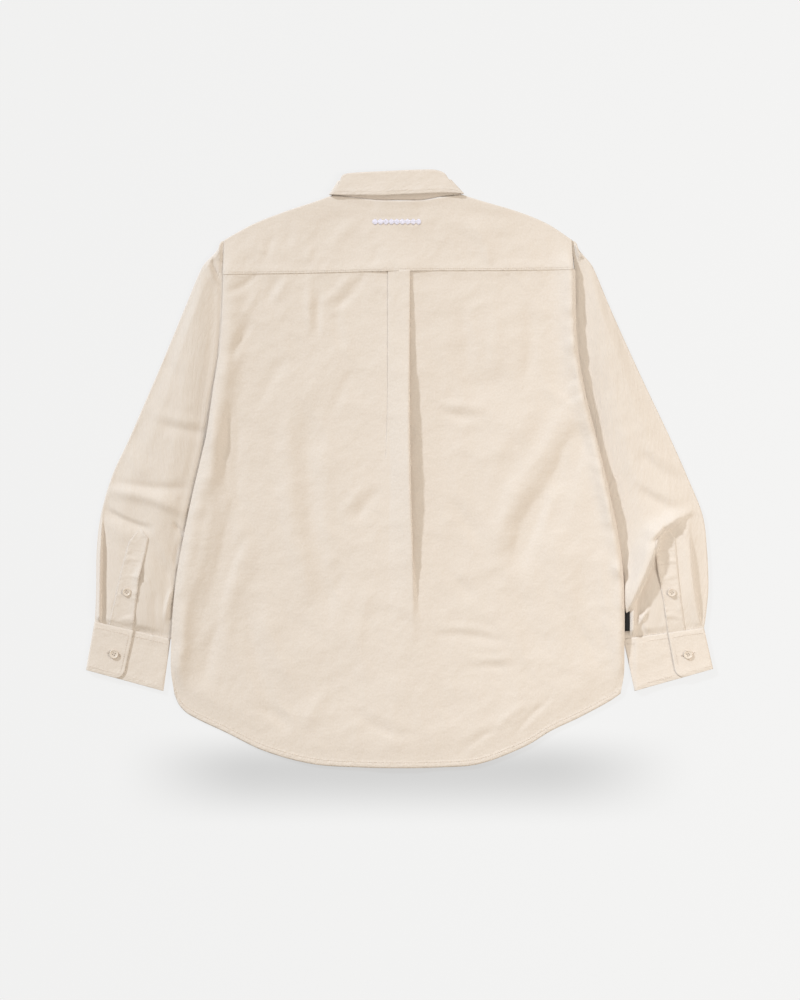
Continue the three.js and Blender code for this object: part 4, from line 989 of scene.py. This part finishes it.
def sleeve_ring(hand, place):
    outer, inner = cross_line(hand, place)
    width = float(np.linalg.norm(outer - inner))

    def plan(share):
        share = np.atleast_1d(share)
        points = outer + (inner - outer) * share[:, None]
        if place < 2:
            offset = lerp(UNDER_BODY, lerp(*BESIDE_ARMHOLE, share), min(place, 1))
            seam = side_edge(hand, points[:, 1]) + hand * offset
            points[:, 0] = lerp(seam, points[:, 0], smooth(place, 1, 2))
        return points

    def levels(share):
        share = np.atleast_1d(share)
        x, y = plan(share).T
        top = sleeve_top(hand, x, y, share * width, (1 - share) * width)
        under = np.full_like(top, SLEEVE_ON_FLOOR)
        joined = 1 - smooth(place, 0, 1)
        seam_top = np.maximum(read(SIDES, "y", "back", y) - ARMHOLE_STEP[hand], PRESSED_SLEEVE - 0.4)
        top = lerp(top, seam_top, joined)
        under = lerp(under, SLEEVE_ON_FLOOR + 0.2, joined)
        return caught_in_cuff(hand, top, place, share), under

    ends_top, ends_under = levels(np.array([0.0, 1.0]))
    radius = (ends_top - ends_under) / 2
    middle = (ends_top + ends_under) / 2
    reach = radius * np.array(edge_slants(hand, place)) / width
    first, last = reach[0], 1 - reach[1]
    upper_share = lerp(first, last, np.linspace(0, 1, UPPER_SLEEVE_COLUMNS) ** COLUMN_SPACING)
    under_share = lerp(first, last, np.linspace(1, 0, UNDER_SLEEVE_COLUMNS))
    upper = np.column_stack([plan(upper_share), levels(upper_share)[0]])
    under = np.column_stack([plan(under_share), levels(under_share)[1]])
    turns = []
    for end, outward in ((1, 1), (0, -1)):
        angles = turn_points(70, -70, 7)
        beyond = reach[end] * np.cos(angles)
        share = first - beyond if end == 0 else last + beyond
        turns.append(np.column_stack([plan(share), middle[end] + outward * radius[end] * np.sin(angles)]))
    return np.concatenate([upper, turns[0], under, turns[1]])


def make_sleeve(hand):
    head = np.linspace(0, 1, ARMHOLE_ROWS + 1)[:-1]
    places = np.concatenate([head, np.linspace(1, LAST_PLACE, SLEEVE_ROWS)])
    grid = np.stack([sleeve_ring(hand, place) for place in places])
    near_seam = 0.8 * bell(LAST_PLACE - places, 0.35)[:, None] + 0.5 * bell(places, 0.5)[:, None]
    return cloth_shell(f"sleeve_tube_{SIDE_NAMES[hand]}", grid, ring=True, near_seam=near_seam)


def sleeve_top_at(hand, x, y):
    """Height of a sleeve's upper face where something lies on it."""
    places = np.arange(5, LAST_PLACE + 0.05, 0.1)
    lines = [cross_line(hand, place) for place in places]
    outer = np.array([line[0] for line in lines])
    run = np.array([line[1] for line in lines]) - outer
    off_x = x[..., None] - outer[:, 0]
    off_y = y[..., None] - outer[:, 1]
    width = np.linalg.norm(run, axis=1)
    share = (off_x * run[:, 0] + off_y * run[:, 1]) / width ** 2
    distance = np.abs(off_x * run[:, 1] - off_y * run[:, 0]) / width
    best = np.argmin(distance, axis=-1)
    share = np.take_along_axis(share, best[..., None], axis=-1)[..., 0]
    top = sleeve_top(hand, x, y, share * width[best], (1 - share) * width[best])
    return caught_in_cuff(hand, top, places[best], share)


PLACKET_CLOTH = 0.8
SLEEVE_PLACKET_WIDTH = 26
SLEEVE_PLACKET_LIFT = (THIN + PLACKET_CLOTH) / 2 + 0.05
SUNK_EDGE = 0.05
OPEN_PLACKET_Y = {LEFT: -143, RIGHT: -134}


def sleeve_placket_points(hand, place, share):
    rows = numbered(SLEEVE_PLACKETS[hand]["rows"])
    at = lambda name: np.interp(place, rows["place"], rows[name])
    x = lerp(at("outerX"), at("innerX"), share)
    y = lerp(at("outerY"), at("innerY"), share)
    return x, y


def sleeve_placket_level(hand, x, y, share):
    open_edge = 3.0 * bell(y - OPEN_PLACKET_Y[hand], 13) * smooth(share, 0.6, 1)
    puckers = 1.3 * np.maximum(random_waves(x * 0.3, y, 6, 11), 0) * smooth(y, -216, -206)
    lift = lerp(SUNK_EDGE, SLEEVE_PLACKET_LIFT, smooth(share, 0, 0.15))
    return sleeve_top_at(hand, x, y) + lift + open_edge + puckers * smooth(share, 0, 0.15)


def make_sleeve_placket(hand):
    place = np.concatenate([np.linspace(0, 3, 60), np.linspace(3, 5, 24)[1:]])[:, None]
    share = np.linspace(0, 1, 17)[None, :] + 0 * place
    x, y = sleeve_placket_points(hand, place, share)
    grid = np.stack([x, y, sleeve_placket_level(hand, x, y, share)], axis=2)
    edge = np.minimum(share, 1 - share) * SLEEVE_PLACKET_WIDTH
    near_seam = 0.8 * bell(edge, 5)
    return cloth_shell(f"tower_placket_{SIDE_NAMES[hand]}", grid, PLACKET_CLOTH, near_seam=near_seam)


# Cuffs: one band each, from the round lap end round the outer fold and back under the lap
CUFF_UNDER = STIFF_CLOTH / 2
CUFF_MIDDLE = CUFF_UNDER + STIFF_CLOTH + 1.1
CUFF_LAP = CUFF_MIDDLE + STIFF_CLOTH
CUFF_HEIGHT = 62
CUFF_INNER_END = 9
LAP_CORNER = 13
CUFF_OVER_SLEEVE = 1.8


def cuff_line(hand, share):
    top, bottom = CUFFS[hand]["top"], CUFFS[hand]["bottom"]
    mix = lambda name: lerp(np.array(top[name]), np.array(bottom[name]), share)
    outer, inner = mix("outer"), mix("inner")
    height = math.dist(top["outer"], bottom["outer"])
    into_corner = max(LAP_CORNER - (1 - share) * height, 0)
    rounded_off = LAP_CORNER - math.sqrt(max(LAP_CORNER ** 2 - into_corner ** 2, 0))
    lap = lerp(top["lap"], bottom["lap"], share) * math.dist(outer, inner) - rounded_off
    return outer, inner, lap


def cuff_section(hand, share):
    outer, inner, lap = cuff_line(hand, share)
    width = math.dist(outer, inner)
    outer_radius = (CUFF_LAP - CUFF_UNDER) / 2
    inner_radius = (CUFF_MIDDLE - CUFF_UNDER) / 2
    angles = turn_points(75, -75, 9)
    parts = [
        (np.linspace(lap, outer_radius, 24), CUFF_LAP),
        (outer_radius * (1 - np.cos(angles)), CUFF_UNDER + outer_radius * (1 + np.sin(angles))),
        (np.linspace(outer_radius, width - inner_radius, 24), CUFF_UNDER),
        (width - inner_radius * (1 - np.cos(angles)), CUFF_UNDER + inner_radius * (1 - np.sin(angles))),
        (np.linspace(width - inner_radius, CUFF_INNER_END, 44), CUFF_MIDDLE),
    ]
    across = np.concatenate([along for along, _ in parts])
    z = np.concatenate([np.broadcast_to(height, along.shape) for along, height in parts])
    plan = outer + (inner - outer) * (across / width)[:, None]
    return np.column_stack([plan, z])


OPEN_CUFF_X = 317


def make_cuff(hand):
    share = np.concatenate([np.linspace(0, 0.78, 30)[:-1], np.linspace(0.78, 1, 26)])
    grid = np.stack([cuff_section(hand, part) for part in share])
    x, y = grid[:, :, 0], grid[:, :, 1]
    upper = smooth(grid[:, :, 2], CUFF_MIDDLE - 0.2, CUFF_MIDDLE)
    below_seam = smooth(share, 0.04, 0.2)[:, None]
    waves = 0.5 * random_waves(x, y, 22, 8) + 0.25 * random_waves(x, y, 9, 10) + 0.3
    grid[:, :, 2] += upper * below_seam * waves
    if hand == RIGHT:
        open_side = smooth(x, OPEN_CUFF_X - 1, OPEN_CUFF_X + 2)
        grid[:, :, 2] += upper * (0.9 * open_side * bell(x - OPEN_CUFF_X - 4, 9) - 0.7 * (1 - open_side))
    up_the_arm = np.subtract(CUFFS[hand]["top"]["outer"], CUFFS[hand]["bottom"]["outer"])
    up_the_arm = up_the_arm / np.linalg.norm(up_the_arm)
    caught = CUFF_OVER_SLEEVE * upper * (1 - smooth(share, 0, 0.08))[:, None]
    grid[:, :, :2] += caught[:, :, None] * up_the_arm
    rim = np.minimum(share, 1 - share)[:, None] * CUFF_HEIGHT
    return cloth_shell(f"cuff_band_{SIDE_NAMES[hand]}", grid, STIFF, near_seam=0.8 * bell(rim - 5, 5))


# Collar: a flattened ring of stations, from the lap on the front round the back to the other end
COLLAR_MIDDLE_Z = 4.95
STAND_REACH = 1.65
LEAF_REACH = 1.95
LEAF_LOW_REACH = 4.1
BACK_LEAF_LOW_REACH = 5.6
TOP_CENTRE = (-5.5, 398)
TOP_RADII = (70, 81)
BACK_COLLAR = table("seamX seamY topX topY lowX lowY", [
    [-87, 369.6, -81, 386, -90.5, 370.2],
    [-81, 369, -75.5, 394.5, -82, 369.6],
    [-60, 366.5, -54, 397.2, -60, 369.4],
    [-30, 363, -27, 398.4, -29, 369],
    [0, 362.8, 0, 399.8, 0, 370.2],
    [30, 363, 30, 400.8, 31, 371.4],
    [54, 367.2, 48, 400.6, 54, 372.4],
    [72, 369.4, 61, 396.5, 70, 372.4],
    [80, 370, 68, 388, 82.5, 371.6],
])
LEAF_DROP = table("angle drop toward", [
    [180, 26, 238], [202, 34, 241], [218, 44, 243], [234, 56, 246], [250, 66, 248], [266, 75, 250],
])


def front_station(angle, hand, leaf=True):
    shown = math.radians(angle if hand == LEFT else 540 - angle)
    cos, sin = math.cos(shown), math.sin(shown)
    top = np.array([TOP_CENTRE[0] + TOP_RADII[0] * cos, TOP_CENTRE[1] + TOP_RADII[1] * sin])
    drop = float(read(LEAF_DROP, "angle", "drop", angle))
    toward = float(read(LEAF_DROP, "angle", "toward", angle))
    lean = math.radians(toward if hand == LEFT else 540 - toward)
    lift = 0 if hand == LEFT else LAYER * float(smooth(angle, 234, 262))
    return {
        "seam": np.array([NECK_CENTRE_X + NECK_RADIUS * cos, NECK_CENTRE_Y + NECK_RADIUS * sin]),
        "top": top,
        "low": top + drop * np.array([math.cos(lean), math.sin(lean)]),
        "out": np.array([0, 0, -1.0]),
        "reach": STAND_REACH - lift,
        "leaf": leaf,
    }


BACK_STAND_REACH = 0.1


def back_station(place, out):
    return {
        **station(BACK_COLLAR, place),
        "out": np.array(out, float),
        "reach": lerp(STAND_REACH, BACK_STAND_REACH, max(out[2], 0)),
        "leaf": True,
    }


LEAF_ANGLES = (188, 266)
LAP_ANGLES = (267.5, 279)


def collar_stations():
    front_angles = np.linspace(*LEAF_ANGLES, 34)
    tips = np.linspace(*LAP_ANGLES, 6)
    turn = turn_points(75, -75, 9)
    last = len(BACK_COLLAR["seamX"]) - 1
    stations = [front_station(angle, LEFT, leaf=False) for angle in tips[::-1]]
    stations += [front_station(angle, LEFT) for angle in front_angles[::-1]]
    stations += [back_station(0, [-math.cos(angle), 0, math.sin(angle)]) for angle in turn[::-1]]
    stations += [back_station(place, [0, 0, 1]) for place in np.linspace(0, last, 71)]
    stations += [back_station(last, [math.cos(angle), 0, math.sin(angle)]) for angle in turn]
    stations += [front_station(angle, RIGHT) for angle in front_angles]
    stations += [front_station(angle, RIGHT, leaf=False) for angle in tips]
    return stations


def collar_point(plan, out, reach):
    return np.array([plan[0], plan[1], COLLAR_MIDDLE_Z]) + out * reach


def make_stand():
    stations = collar_stations()
    grid = [[lerp(collar_point(s["seam"], s["out"], s["reach"]), collar_point(s["top"], s["out"], s["reach"]),
                  share) for s in stations] for share in np.linspace(0, 1, 10)]
    return cloth_shell("stand_band", grid, STIFF)


def leaf_low_reach(out):
    """The leaf's lower edge stands off further across the back."""
    return lerp(LEAF_LOW_REACH, BACK_LEAF_LOW_REACH, max(out[2], 0))


# How far the leaf rises above the stand and stands out from it, over its fold
LEAF_FOLD = ((0.8, 0), (1.6, 0.06), (2.3, 0.3), (2.75, 0.7), (2.85, 1.1), (2.5, 1.55), (1.5, 1.86))
LEAF_TURNED = 0.2


def leaf_section(station):
    """Points across the leaf, from inside the stand over the fold to the lower edge."""
    out = station["out"]
    edge = collar_point(station["top"], out, STAND_REACH)
    up = edge - collar_point(station["seam"], out, STAND_REACH)
    up = up / np.linalg.norm(up)
    lower = collar_point(station["low"], out, leaf_low_reach(out))
    moved = lambda rise, outward: edge + up * rise + out * outward
    fold = [moved(rise, outward) for rise, outward in LEAF_FOLD]
    turned = moved(LEAF_TURNED, LEAF_REACH)
    fall = [lerp(turned, lower, share) for share in np.linspace(0, 1, 22)]
    return np.array(fold + fall)


def make_leaf():
    sections = [leaf_section(station) for station in collar_stations() if station["leaf"]]
    grid = np.stack(sections, axis=1)
    rows = np.arange(grid.shape[0])[:, None]
    seen = smooth(grid[:, :, 2], COLLAR_MIDDLE_Z, COLLAR_MIDDLE_Z + 2) * smooth(rows, 6, 12)
    grid[:, :, 2] += 0.45 * seen * random_waves(grid[:, :, 0], grid[:, :, 1], 14, 9)
    near_seam = 0.9 * bell(rows - (grid.shape[0] - 4), 3) + 0.3 * bell(rows - 6, 2)
    return cloth_shell("leaf_panel", grid, STIFF, near_seam=near_seam)


# Buttons with four holes, a rim and their thread
HOLE_RADIUS = 0.8
HOLE_OFFSET = 1.25
THREAD_HEIGHT = 1.62
THREAD_REACH = 1.5
THREAD_OFFSETS = (-1.45, -1.05, 1.05, 1.45)


def lathe(profile, sides):
    angles = np.linspace(0, 2 * math.pi, sides, endpoint=False)
    points, faces = [], []
    for radius, z in profile:
        points += [(radius * math.cos(angle), radius * math.sin(angle), z) for angle in angles]
    for ring in range(len(profile) - 1):
        for side in range(sides):
            after = (side + 1) % sides
            low, high = ring * sides, (ring + 1) * sides
            faces.append([low + side, low + after, high + after, high + side])
    faces.append(list(reversed(range(sides))))
    faces.append([(len(profile) - 1) * sides + side for side in range(sides)])
    return points, faces


def button_mesh(name, diameter):
    radius = diameter / 2
    profile = [
        (radius - 0.9, 0), (radius - 0.35, 0.2), (radius, 0.8), (radius - 0.05, 1.5), (radius - 0.4, 2.2),
        (radius - 0.9, BUTTON_HEIGHT), (radius - 1.4, 2.2), (radius - 2.1, 1.6), (0.5, 1.5),
    ]
    points, faces = lathe(profile, 48)
    body = bpy.data.meshes.new(name)
    body.from_pydata([Vector(point) * MM for point in points], [], faces)
    solid = bpy.data.objects.new(name, body)
    hole_points, hole_faces = [], []
    for x in (-1, 1):
        for y in (-1, 1):
            points, faces = lathe([(HOLE_RADIUS, -1), (HOLE_RADIUS, 4)], 14)
            first = len(hole_points)
            middle = Vector((x, y, 0)) * HOLE_OFFSET
            hole_points += [(Vector(point) + middle) * MM for point in points]
            hole_faces += [[corner + first for corner in face] for face in faces]
    holes = bpy.data.meshes.new(name + "_holes")
    holes.from_pydata(hole_points, [], hole_faces)
    cutter = bpy.data.objects.new(name + "_holes", holes)
    for item in (solid, cutter):
        bpy.context.scene.collection.objects.link(item)
    cut = solid.modifiers.new("holes", "BOOLEAN")
    cut.operation = "DIFFERENCE"
    cut.object = cutter
    shown = solid.evaluated_get(bpy.context.evaluated_depsgraph_get())
    drilled = bpy.data.meshes.new_from_object(shown)
    for item in (solid, cutter):
        bpy.data.objects.remove(item)
    return drilled


def add_button(node, mesh, x, y, z, turn=20, face_down=False):
    button = bpy.data.objects.new(node + "_look", mesh.copy())
    flip = math.pi if face_down else 0
    button.rotation_euler = (flip, 0, math.radians(turn))
    button.location = Vector((x, y, z + (BUTTON_HEIGHT if face_down else 0))) * MM
    finish_piece(button, button_material)
    for face in button.data.polygons:
        face.use_smooth = len(face.vertices) == 4
    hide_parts(node)

    around = math.radians(turn)
    along = np.array([math.cos(around), math.sin(around), 0])
    aside = np.array([-math.sin(around), math.cos(around), 0])
    seat = np.array([x, y, z + (BUTTON_HEIGHT - THREAD_HEIGHT if face_down else THREAD_HEIGHT)])
    starts = [seat + aside * offset - along * THREAD_REACH for offset in THREAD_OFFSETS]
    ends = [seat + aside * offset + along * THREAD_REACH for offset in THREAD_OFFSETS]
    thread_mesh(node + "_thread", starts, ends, 0.5, thread_material, -1 if face_down else 1)


def make_buttons():
    small = button_mesh("small_button", FRONT_BUTTON)
    large = button_mesh("large_button", CUFF_BUTTON)
    add_button("button_collar", small, CENTRE_FRONT - 1, COLLAR_BUTTON_Y, 0, 5, True)
    for count in range(FRONT_BUTTONS):
        y = FIRST_BUTTON_Y - count * BUTTON_SPACING
        add_button(f"button_front_{count + 1}", small, CENTRE_FRONT, y, 0, 12 * count, True)
    for hand, name in SIDE_NAMES.items():
        x, y = CUFFS[hand]["button"]
        add_button(f"button_cuff_{name}", large, x, y, CUFF_LAP + STIFF / 2 + 0.45, 30 * hand)
        x, y = SLEEVE_PLACKETS[hand]["button"]
        level = float(sleeve_placket_level(hand, np.array(x), np.array(y), 0.5))
        add_button(f"button_sleeve_{name}", small, x, y, level + PLACKET_CLOTH / 2 + 0.2, 40 * hand)


# Side tab: a folded tape caught in the right side seam
TAB_LENGTH = 29.5
TAB_REACH = 6.4
TAB_Y = -204


def make_tab():
    edge = float(side_edge(RIGHT, TAB_Y)) + SEAM_GAP
    level = float(read(SIDES, "y", "back", TAB_Y)) - SEAM_GAP
    angles = turn_points(90, -90, 7)
    x = np.concatenate([np.linspace(0, TAB_REACH - 0.7, 8), TAB_REACH - 0.7 + 0.35 * np.cos(angles),
                        np.linspace(TAB_REACH - 0.7, 0, 8)])
    z = np.concatenate([np.full(8, 0.35), 0.35 * np.sin(angles), np.full(8, -0.35)])
    y = np.linspace(TAB_LENGTH / 2, -TAB_LENGTH / 2, 12)
    grid = [[(edge + across, TAB_Y + along, level + height) for across, height in zip(x, z)] for along in y]
    return cloth_shell("side_tab_tape", grid, 0.4, material=tab_material)


# Sewing
HEM_MARGIN = 7.5
YOKE_MARGIN = 1.6


def back_sewing():
    x = np.linspace(-298, 294, 500)
    hem = on_surface(x, hem_at(x) + HEM_MARGIN, lambda x, y: back_surface(x, y) + 0.35)
    return sewing("back_stitches", [hem])


def yoke_sewing():
    x = np.linspace(-232, 231, 420)
    seam = on_surface(x, yoke_seam_at(x) + YOKE_MARGIN, yoke_level)
    return sewing("yoke_stitches", [seam])


def cuff_sewing(hand):
    """Stitches round the lap and along the rest of the cuff that shows."""
    runs = []
    face = STIFF / 2 + 0.4
    margin = 5.5
    first, last = margin / CUFF_HEIGHT, 1 - margin / CUFF_HEIGHT
    for share in (first, last):
        outer, inner, lap = cuff_line(hand, share)
        width = math.dist(outer, inner)
        along = lambda start, end, level: np.column_stack([
            outer + (inner - outer) * (np.linspace(start, end, 60) / width)[:, None], np.full(60, level)])
        runs.append(along(3, lap - (LAP_CORNER * 0.5 if share > 0.5 else margin), CUFF_LAP + face))
        runs.append(along(lap + 1.5, width - 3, CUFF_MIDDLE + face))
    side = []
    for share in np.linspace(first, last, 30):
        outer, inner, lap = cuff_line(hand, share)
        side.append([*(outer + (inner - outer) * (lap - margin) / math.dist(outer, inner)), CUFF_LAP + face])
    runs.append(side)
    return sewing(f"cuff_stitches_{SIDE_NAMES[hand]}", runs)


def sleeve_placket_sewing(hand):
    """Stitches along both edges, and twice across above the opening."""
    along, across = np.linspace(0.05, 4.0, 120), np.linspace(0.07, 0.93, 30)
    runs = []
    for place, share in ((along, 0.07), (along, 0.93), (2.35, across), (2.95, across)):
        x, y = sleeve_placket_points(hand, place, share)
        face = sleeve_placket_level(hand, x, y, share) + PLACKET_CLOTH / 2 + 0.05
        runs.append(np.column_stack([x, y, face]))
    return sewing(f"placket_stitches_{SIDE_NAMES[hand]}", runs)


COLLAR_MARGIN = 5.5


def collar_sewing():
    stations = [station for station in collar_stations() if station["leaf"]]
    seen, hidden = [], []
    for station in stations:
        out = station["out"]
        turned = collar_point(station["top"], out, STAND_REACH + LEAF_REACH)
        lower = collar_point(station["low"], out, leaf_low_reach(out))
        back_off = COLLAR_MARGIN / max(np.linalg.norm(lower - turned), 1)
        point = lerp(lower, turned, back_off) + out * (STIFF / 2 + 0.25)
        if out[2] > 0.99:
            seen.append(point)
        elif out[2] < -0.99:
            hidden.append(point)
    middle = len(hidden) // 2
    return [sewing("collar_stitches", [seen]),
            sewing("collar_front_stitches", [hidden[:middle], hidden[middle:]], up=-1)]


PLACKET_STITCH_OFFSET = 11.5


def placket_sewing():
    y = np.linspace(282, -392, 500)
    face = placket_level(y) - STIFF / 2 - 0.05
    runs = [np.column_stack([np.full(500, CENTRE_FRONT + side * PLACKET_STITCH_OFFSET), y, face])
            for side in (-1, 1)]
    return sewing("front_placket_stitches", runs, up=-1)


SATIN_PITCH = 0.45
SATIN_REACH = (0.15, 1.5)
BUTTONHOLE_LENGTH = 19


def make_buttonhole(hand):
    """Satin stitches on both lips of a cuff's buttonhole."""
    outer, inner, _ = cuff_line(hand, 0.6)
    way = np.array([*(inner - outer), 0.0]) / math.dist(outer, inner)
    aside = np.array([-way[1], way[0], 0])
    centre = np.array([*CUFFS[hand]["button"], CUFF_LAP + STIFF / 2 + 0.35])
    starts, ends = [], []
    for lip in (-1, 1):
        for step in np.arange(-BUTTONHOLE_LENGTH / 2, BUTTONHOLE_LENGTH / 2, SATIN_PITCH):
            start, end = (centre + way * step + aside * lip * reach for reach in SATIN_REACH)
            starts.append(start)
            ends.append(end)
    return thread_mesh(f"cuff_buttonhole_{SIDE_NAMES[hand]}", starts, ends, 0.5, thread_material)


# A row of stitched lozenges across the yoke under the collar
MOTIF_START = -36.5
MOTIF_END = 29.5
MOTIF_Y = 333.5
LOZENGES = 9
LOZENGE_HEIGHT = 9.6


def make_motif():
    starts, ends = [], []
    pitch = (MOTIF_END - MOTIF_START) / LOZENGES
    for count in range(LOZENGES):
        centre = MOTIF_START + (count + 0.5) * pitch
        half = pitch * 0.47
        for step in np.arange(-half, half + 0.01, 0.5):
            tall = LOZENGE_HEIGHT / 2 * (1 - 0.55 * abs(step) / half)
            starts.append((centre + step, MOTIF_Y - tall))
            ends.append((centre + step, MOTIF_Y + tall))
    lift = lambda points: on_surface(*np.array(points).T, yoke_level, THIN / 2 + 0.25)
    return thread_mesh("yoke_motif", lift(starts), lift(ends), 0.75, motif_material)


def place_sheet(piece, node, with_pieces=()):
    """Hides the node's CAD part, whose place the piece takes."""
    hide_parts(node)


def make_shirt():
    place_sheet(make_back(), "back", [back_sewing()])
    place_sheet(make_yoke(), "yoke", [yoke_sewing(), make_motif()])
    place_sheet(make_placket(), "front_placket", [placket_sewing()])
    place_sheet(make_stand(), "collar_stand")
    place_sheet(make_leaf(), "collar_leaf", collar_sewing())
    place_sheet(make_tab(), "side_tab")
    for hand, name in SIDE_NAMES.items():
        sleeve, placket = f"sleeve_{name}", f"sleeve_placket_{name}"
        place_sheet(make_front(hand), f"front_{name}")
        place_sheet(make_sleeve(hand), sleeve)
        place_sheet(make_sleeve_placket(hand), placket, [sleeve_placket_sewing(hand)])
        place_sheet(make_cuff(hand), f"cuff_{name}", [cuff_sewing(hand), make_buttonhole(hand)])
    make_buttons()


# Floor, light and camera
FLOOR_NAME = "floor"
MM_PER_PIXEL = 1.35
PHOTO_HEIGHT = 1000
CAMERA_HEIGHT = 6000
CAMERA_X = 0.7
CAMERA_Y = -41.9
FLOOR_GLOW = 0.887
SHADOW_DEPTH = 0.29
SHADOW_ACROSS = (-0.398, -0.188, 0.190, 0.412)
SHADOW_ALONG = (-0.487, -0.406, -0.406, -0.346)


def soft_band(material, value, limits):
    """One between the two middle limits, fading to nothing at the outer two."""
    fades = {}
    for place, (nothing, full) in enumerate(((limits[0], limits[1]), (limits[3], limits[2]))):
        inputs = {"From Min": nothing, "From Max": full, "Value": value}
        fades[place] = add_node(material, "ShaderNodeMapRange", inputs, "Result",
                                interpolation_type="SMOOTHSTEP")
    return add_node(material, "ShaderNodeMath", fades, "Value", operation="MULTIPLY")


def make_floor():
    """White ground with the soft shadow that the photo has below the hem."""
    bpy.ops.mesh.primitive_plane_add(size=8, location=(0, 0, -0.0002))
    floor = bpy.context.object
    floor.name = FLOOR_NAME
    material = bpy.data.materials.new("white_ground")
    material.use_nodes = True
    material.node_tree.nodes.clear()
    place = add_node(material, "ShaderNodeTexCoord", {}, "Object")
    split = add_node(material, "ShaderNodeSeparateXYZ", {"Vector": place})
    across = soft_band(material, split.outputs["X"], SHADOW_ACROSS)
    along = soft_band(material, split.outputs["Y"], SHADOW_ALONG)
    shadow = add_node(material, "ShaderNodeMath", {0: across, 1: along}, "Value", operation="MULTIPLY")
    glows = {"To Min": FLOOR_GLOW, "To Max": FLOOR_GLOW * (1 - SHADOW_DEPTH), "Value": shadow}
    strength = add_node(material, "ShaderNodeMapRange", glows, "Result")
    glow = add_node(material, "ShaderNodeEmission", {"Strength": strength}, "Emission")
    matt = add_node(material, "ShaderNodeBsdfDiffuse", {"Color": (0.8, 0.8, 0.8, 1)}, "BSDF")
    mix = add_node(material, "ShaderNodeMixShader", {"Fac": 0.12, 1: glow, 2: matt}, "Shader")
    add_node(material, "ShaderNodeOutputMaterial", {"Surface": mix})
    floor.data.materials.append(material)


SUN_ELEVATION = 24
SUN_FROM = 135


def add_light(name, kind, location, toward, **settings):
    light = bpy.data.lights.new(name, kind)
    for setting, value in settings.items():
        setattr(light, setting, value)
    lamp = bpy.data.objects.new(name, light)
    lamp.location = location
    lamp.rotation_euler = toward.to_track_quat("Z", "Y").to_euler()
    bpy.context.scene.collection.objects.link(lamp)


def make_light():
    elevation, azimuth = math.radians(SUN_ELEVATION), math.radians(SUN_FROM)
    toward = Vector((math.cos(elevation) * math.cos(azimuth), math.cos(elevation) * math.sin(azimuth),
                     math.sin(elevation)))
    add_light("key", "SUN", (0, 0, 0), toward, energy=2.6, color=(0.80, 0.90, 1.0), angle=math.radians(3))
    place = Vector((1.7, -0.2, 1.9))
    add_light("reflector", "AREA", place, place, shape="DISK", size=1.4, energy=30, color=(1.0, 0.95, 0.86))

    world = bpy.data.worlds.new("fill")
    world.use_nodes = True
    background = world.node_tree.nodes["Background"]
    background.inputs["Color"].default_value = (1.0, 0.936, 0.822, 1)
    background.inputs["Strength"].default_value = 0.567
    bpy.context.scene.world = world


def make_camera():
    camera = bpy.data.cameras.new("camera")
    camera.sensor_width = 36
    camera.lens = camera.sensor_width * CAMERA_HEIGHT / (MM_PER_PIXEL * PHOTO_HEIGHT)
    camera.clip_end = 100
    view = bpy.data.objects.new("camera", camera)
    view.location = Vector((CAMERA_X, CAMERA_Y, CAMERA_HEIGHT + LOFT)) * MM
    bpy.context.scene.collection.objects.link(view)
    bpy.context.scene.camera = view


make_shirt()
make_floor()
make_light()
make_camera()
bpy.context.scene.view_settings.view_transform = "Standard"
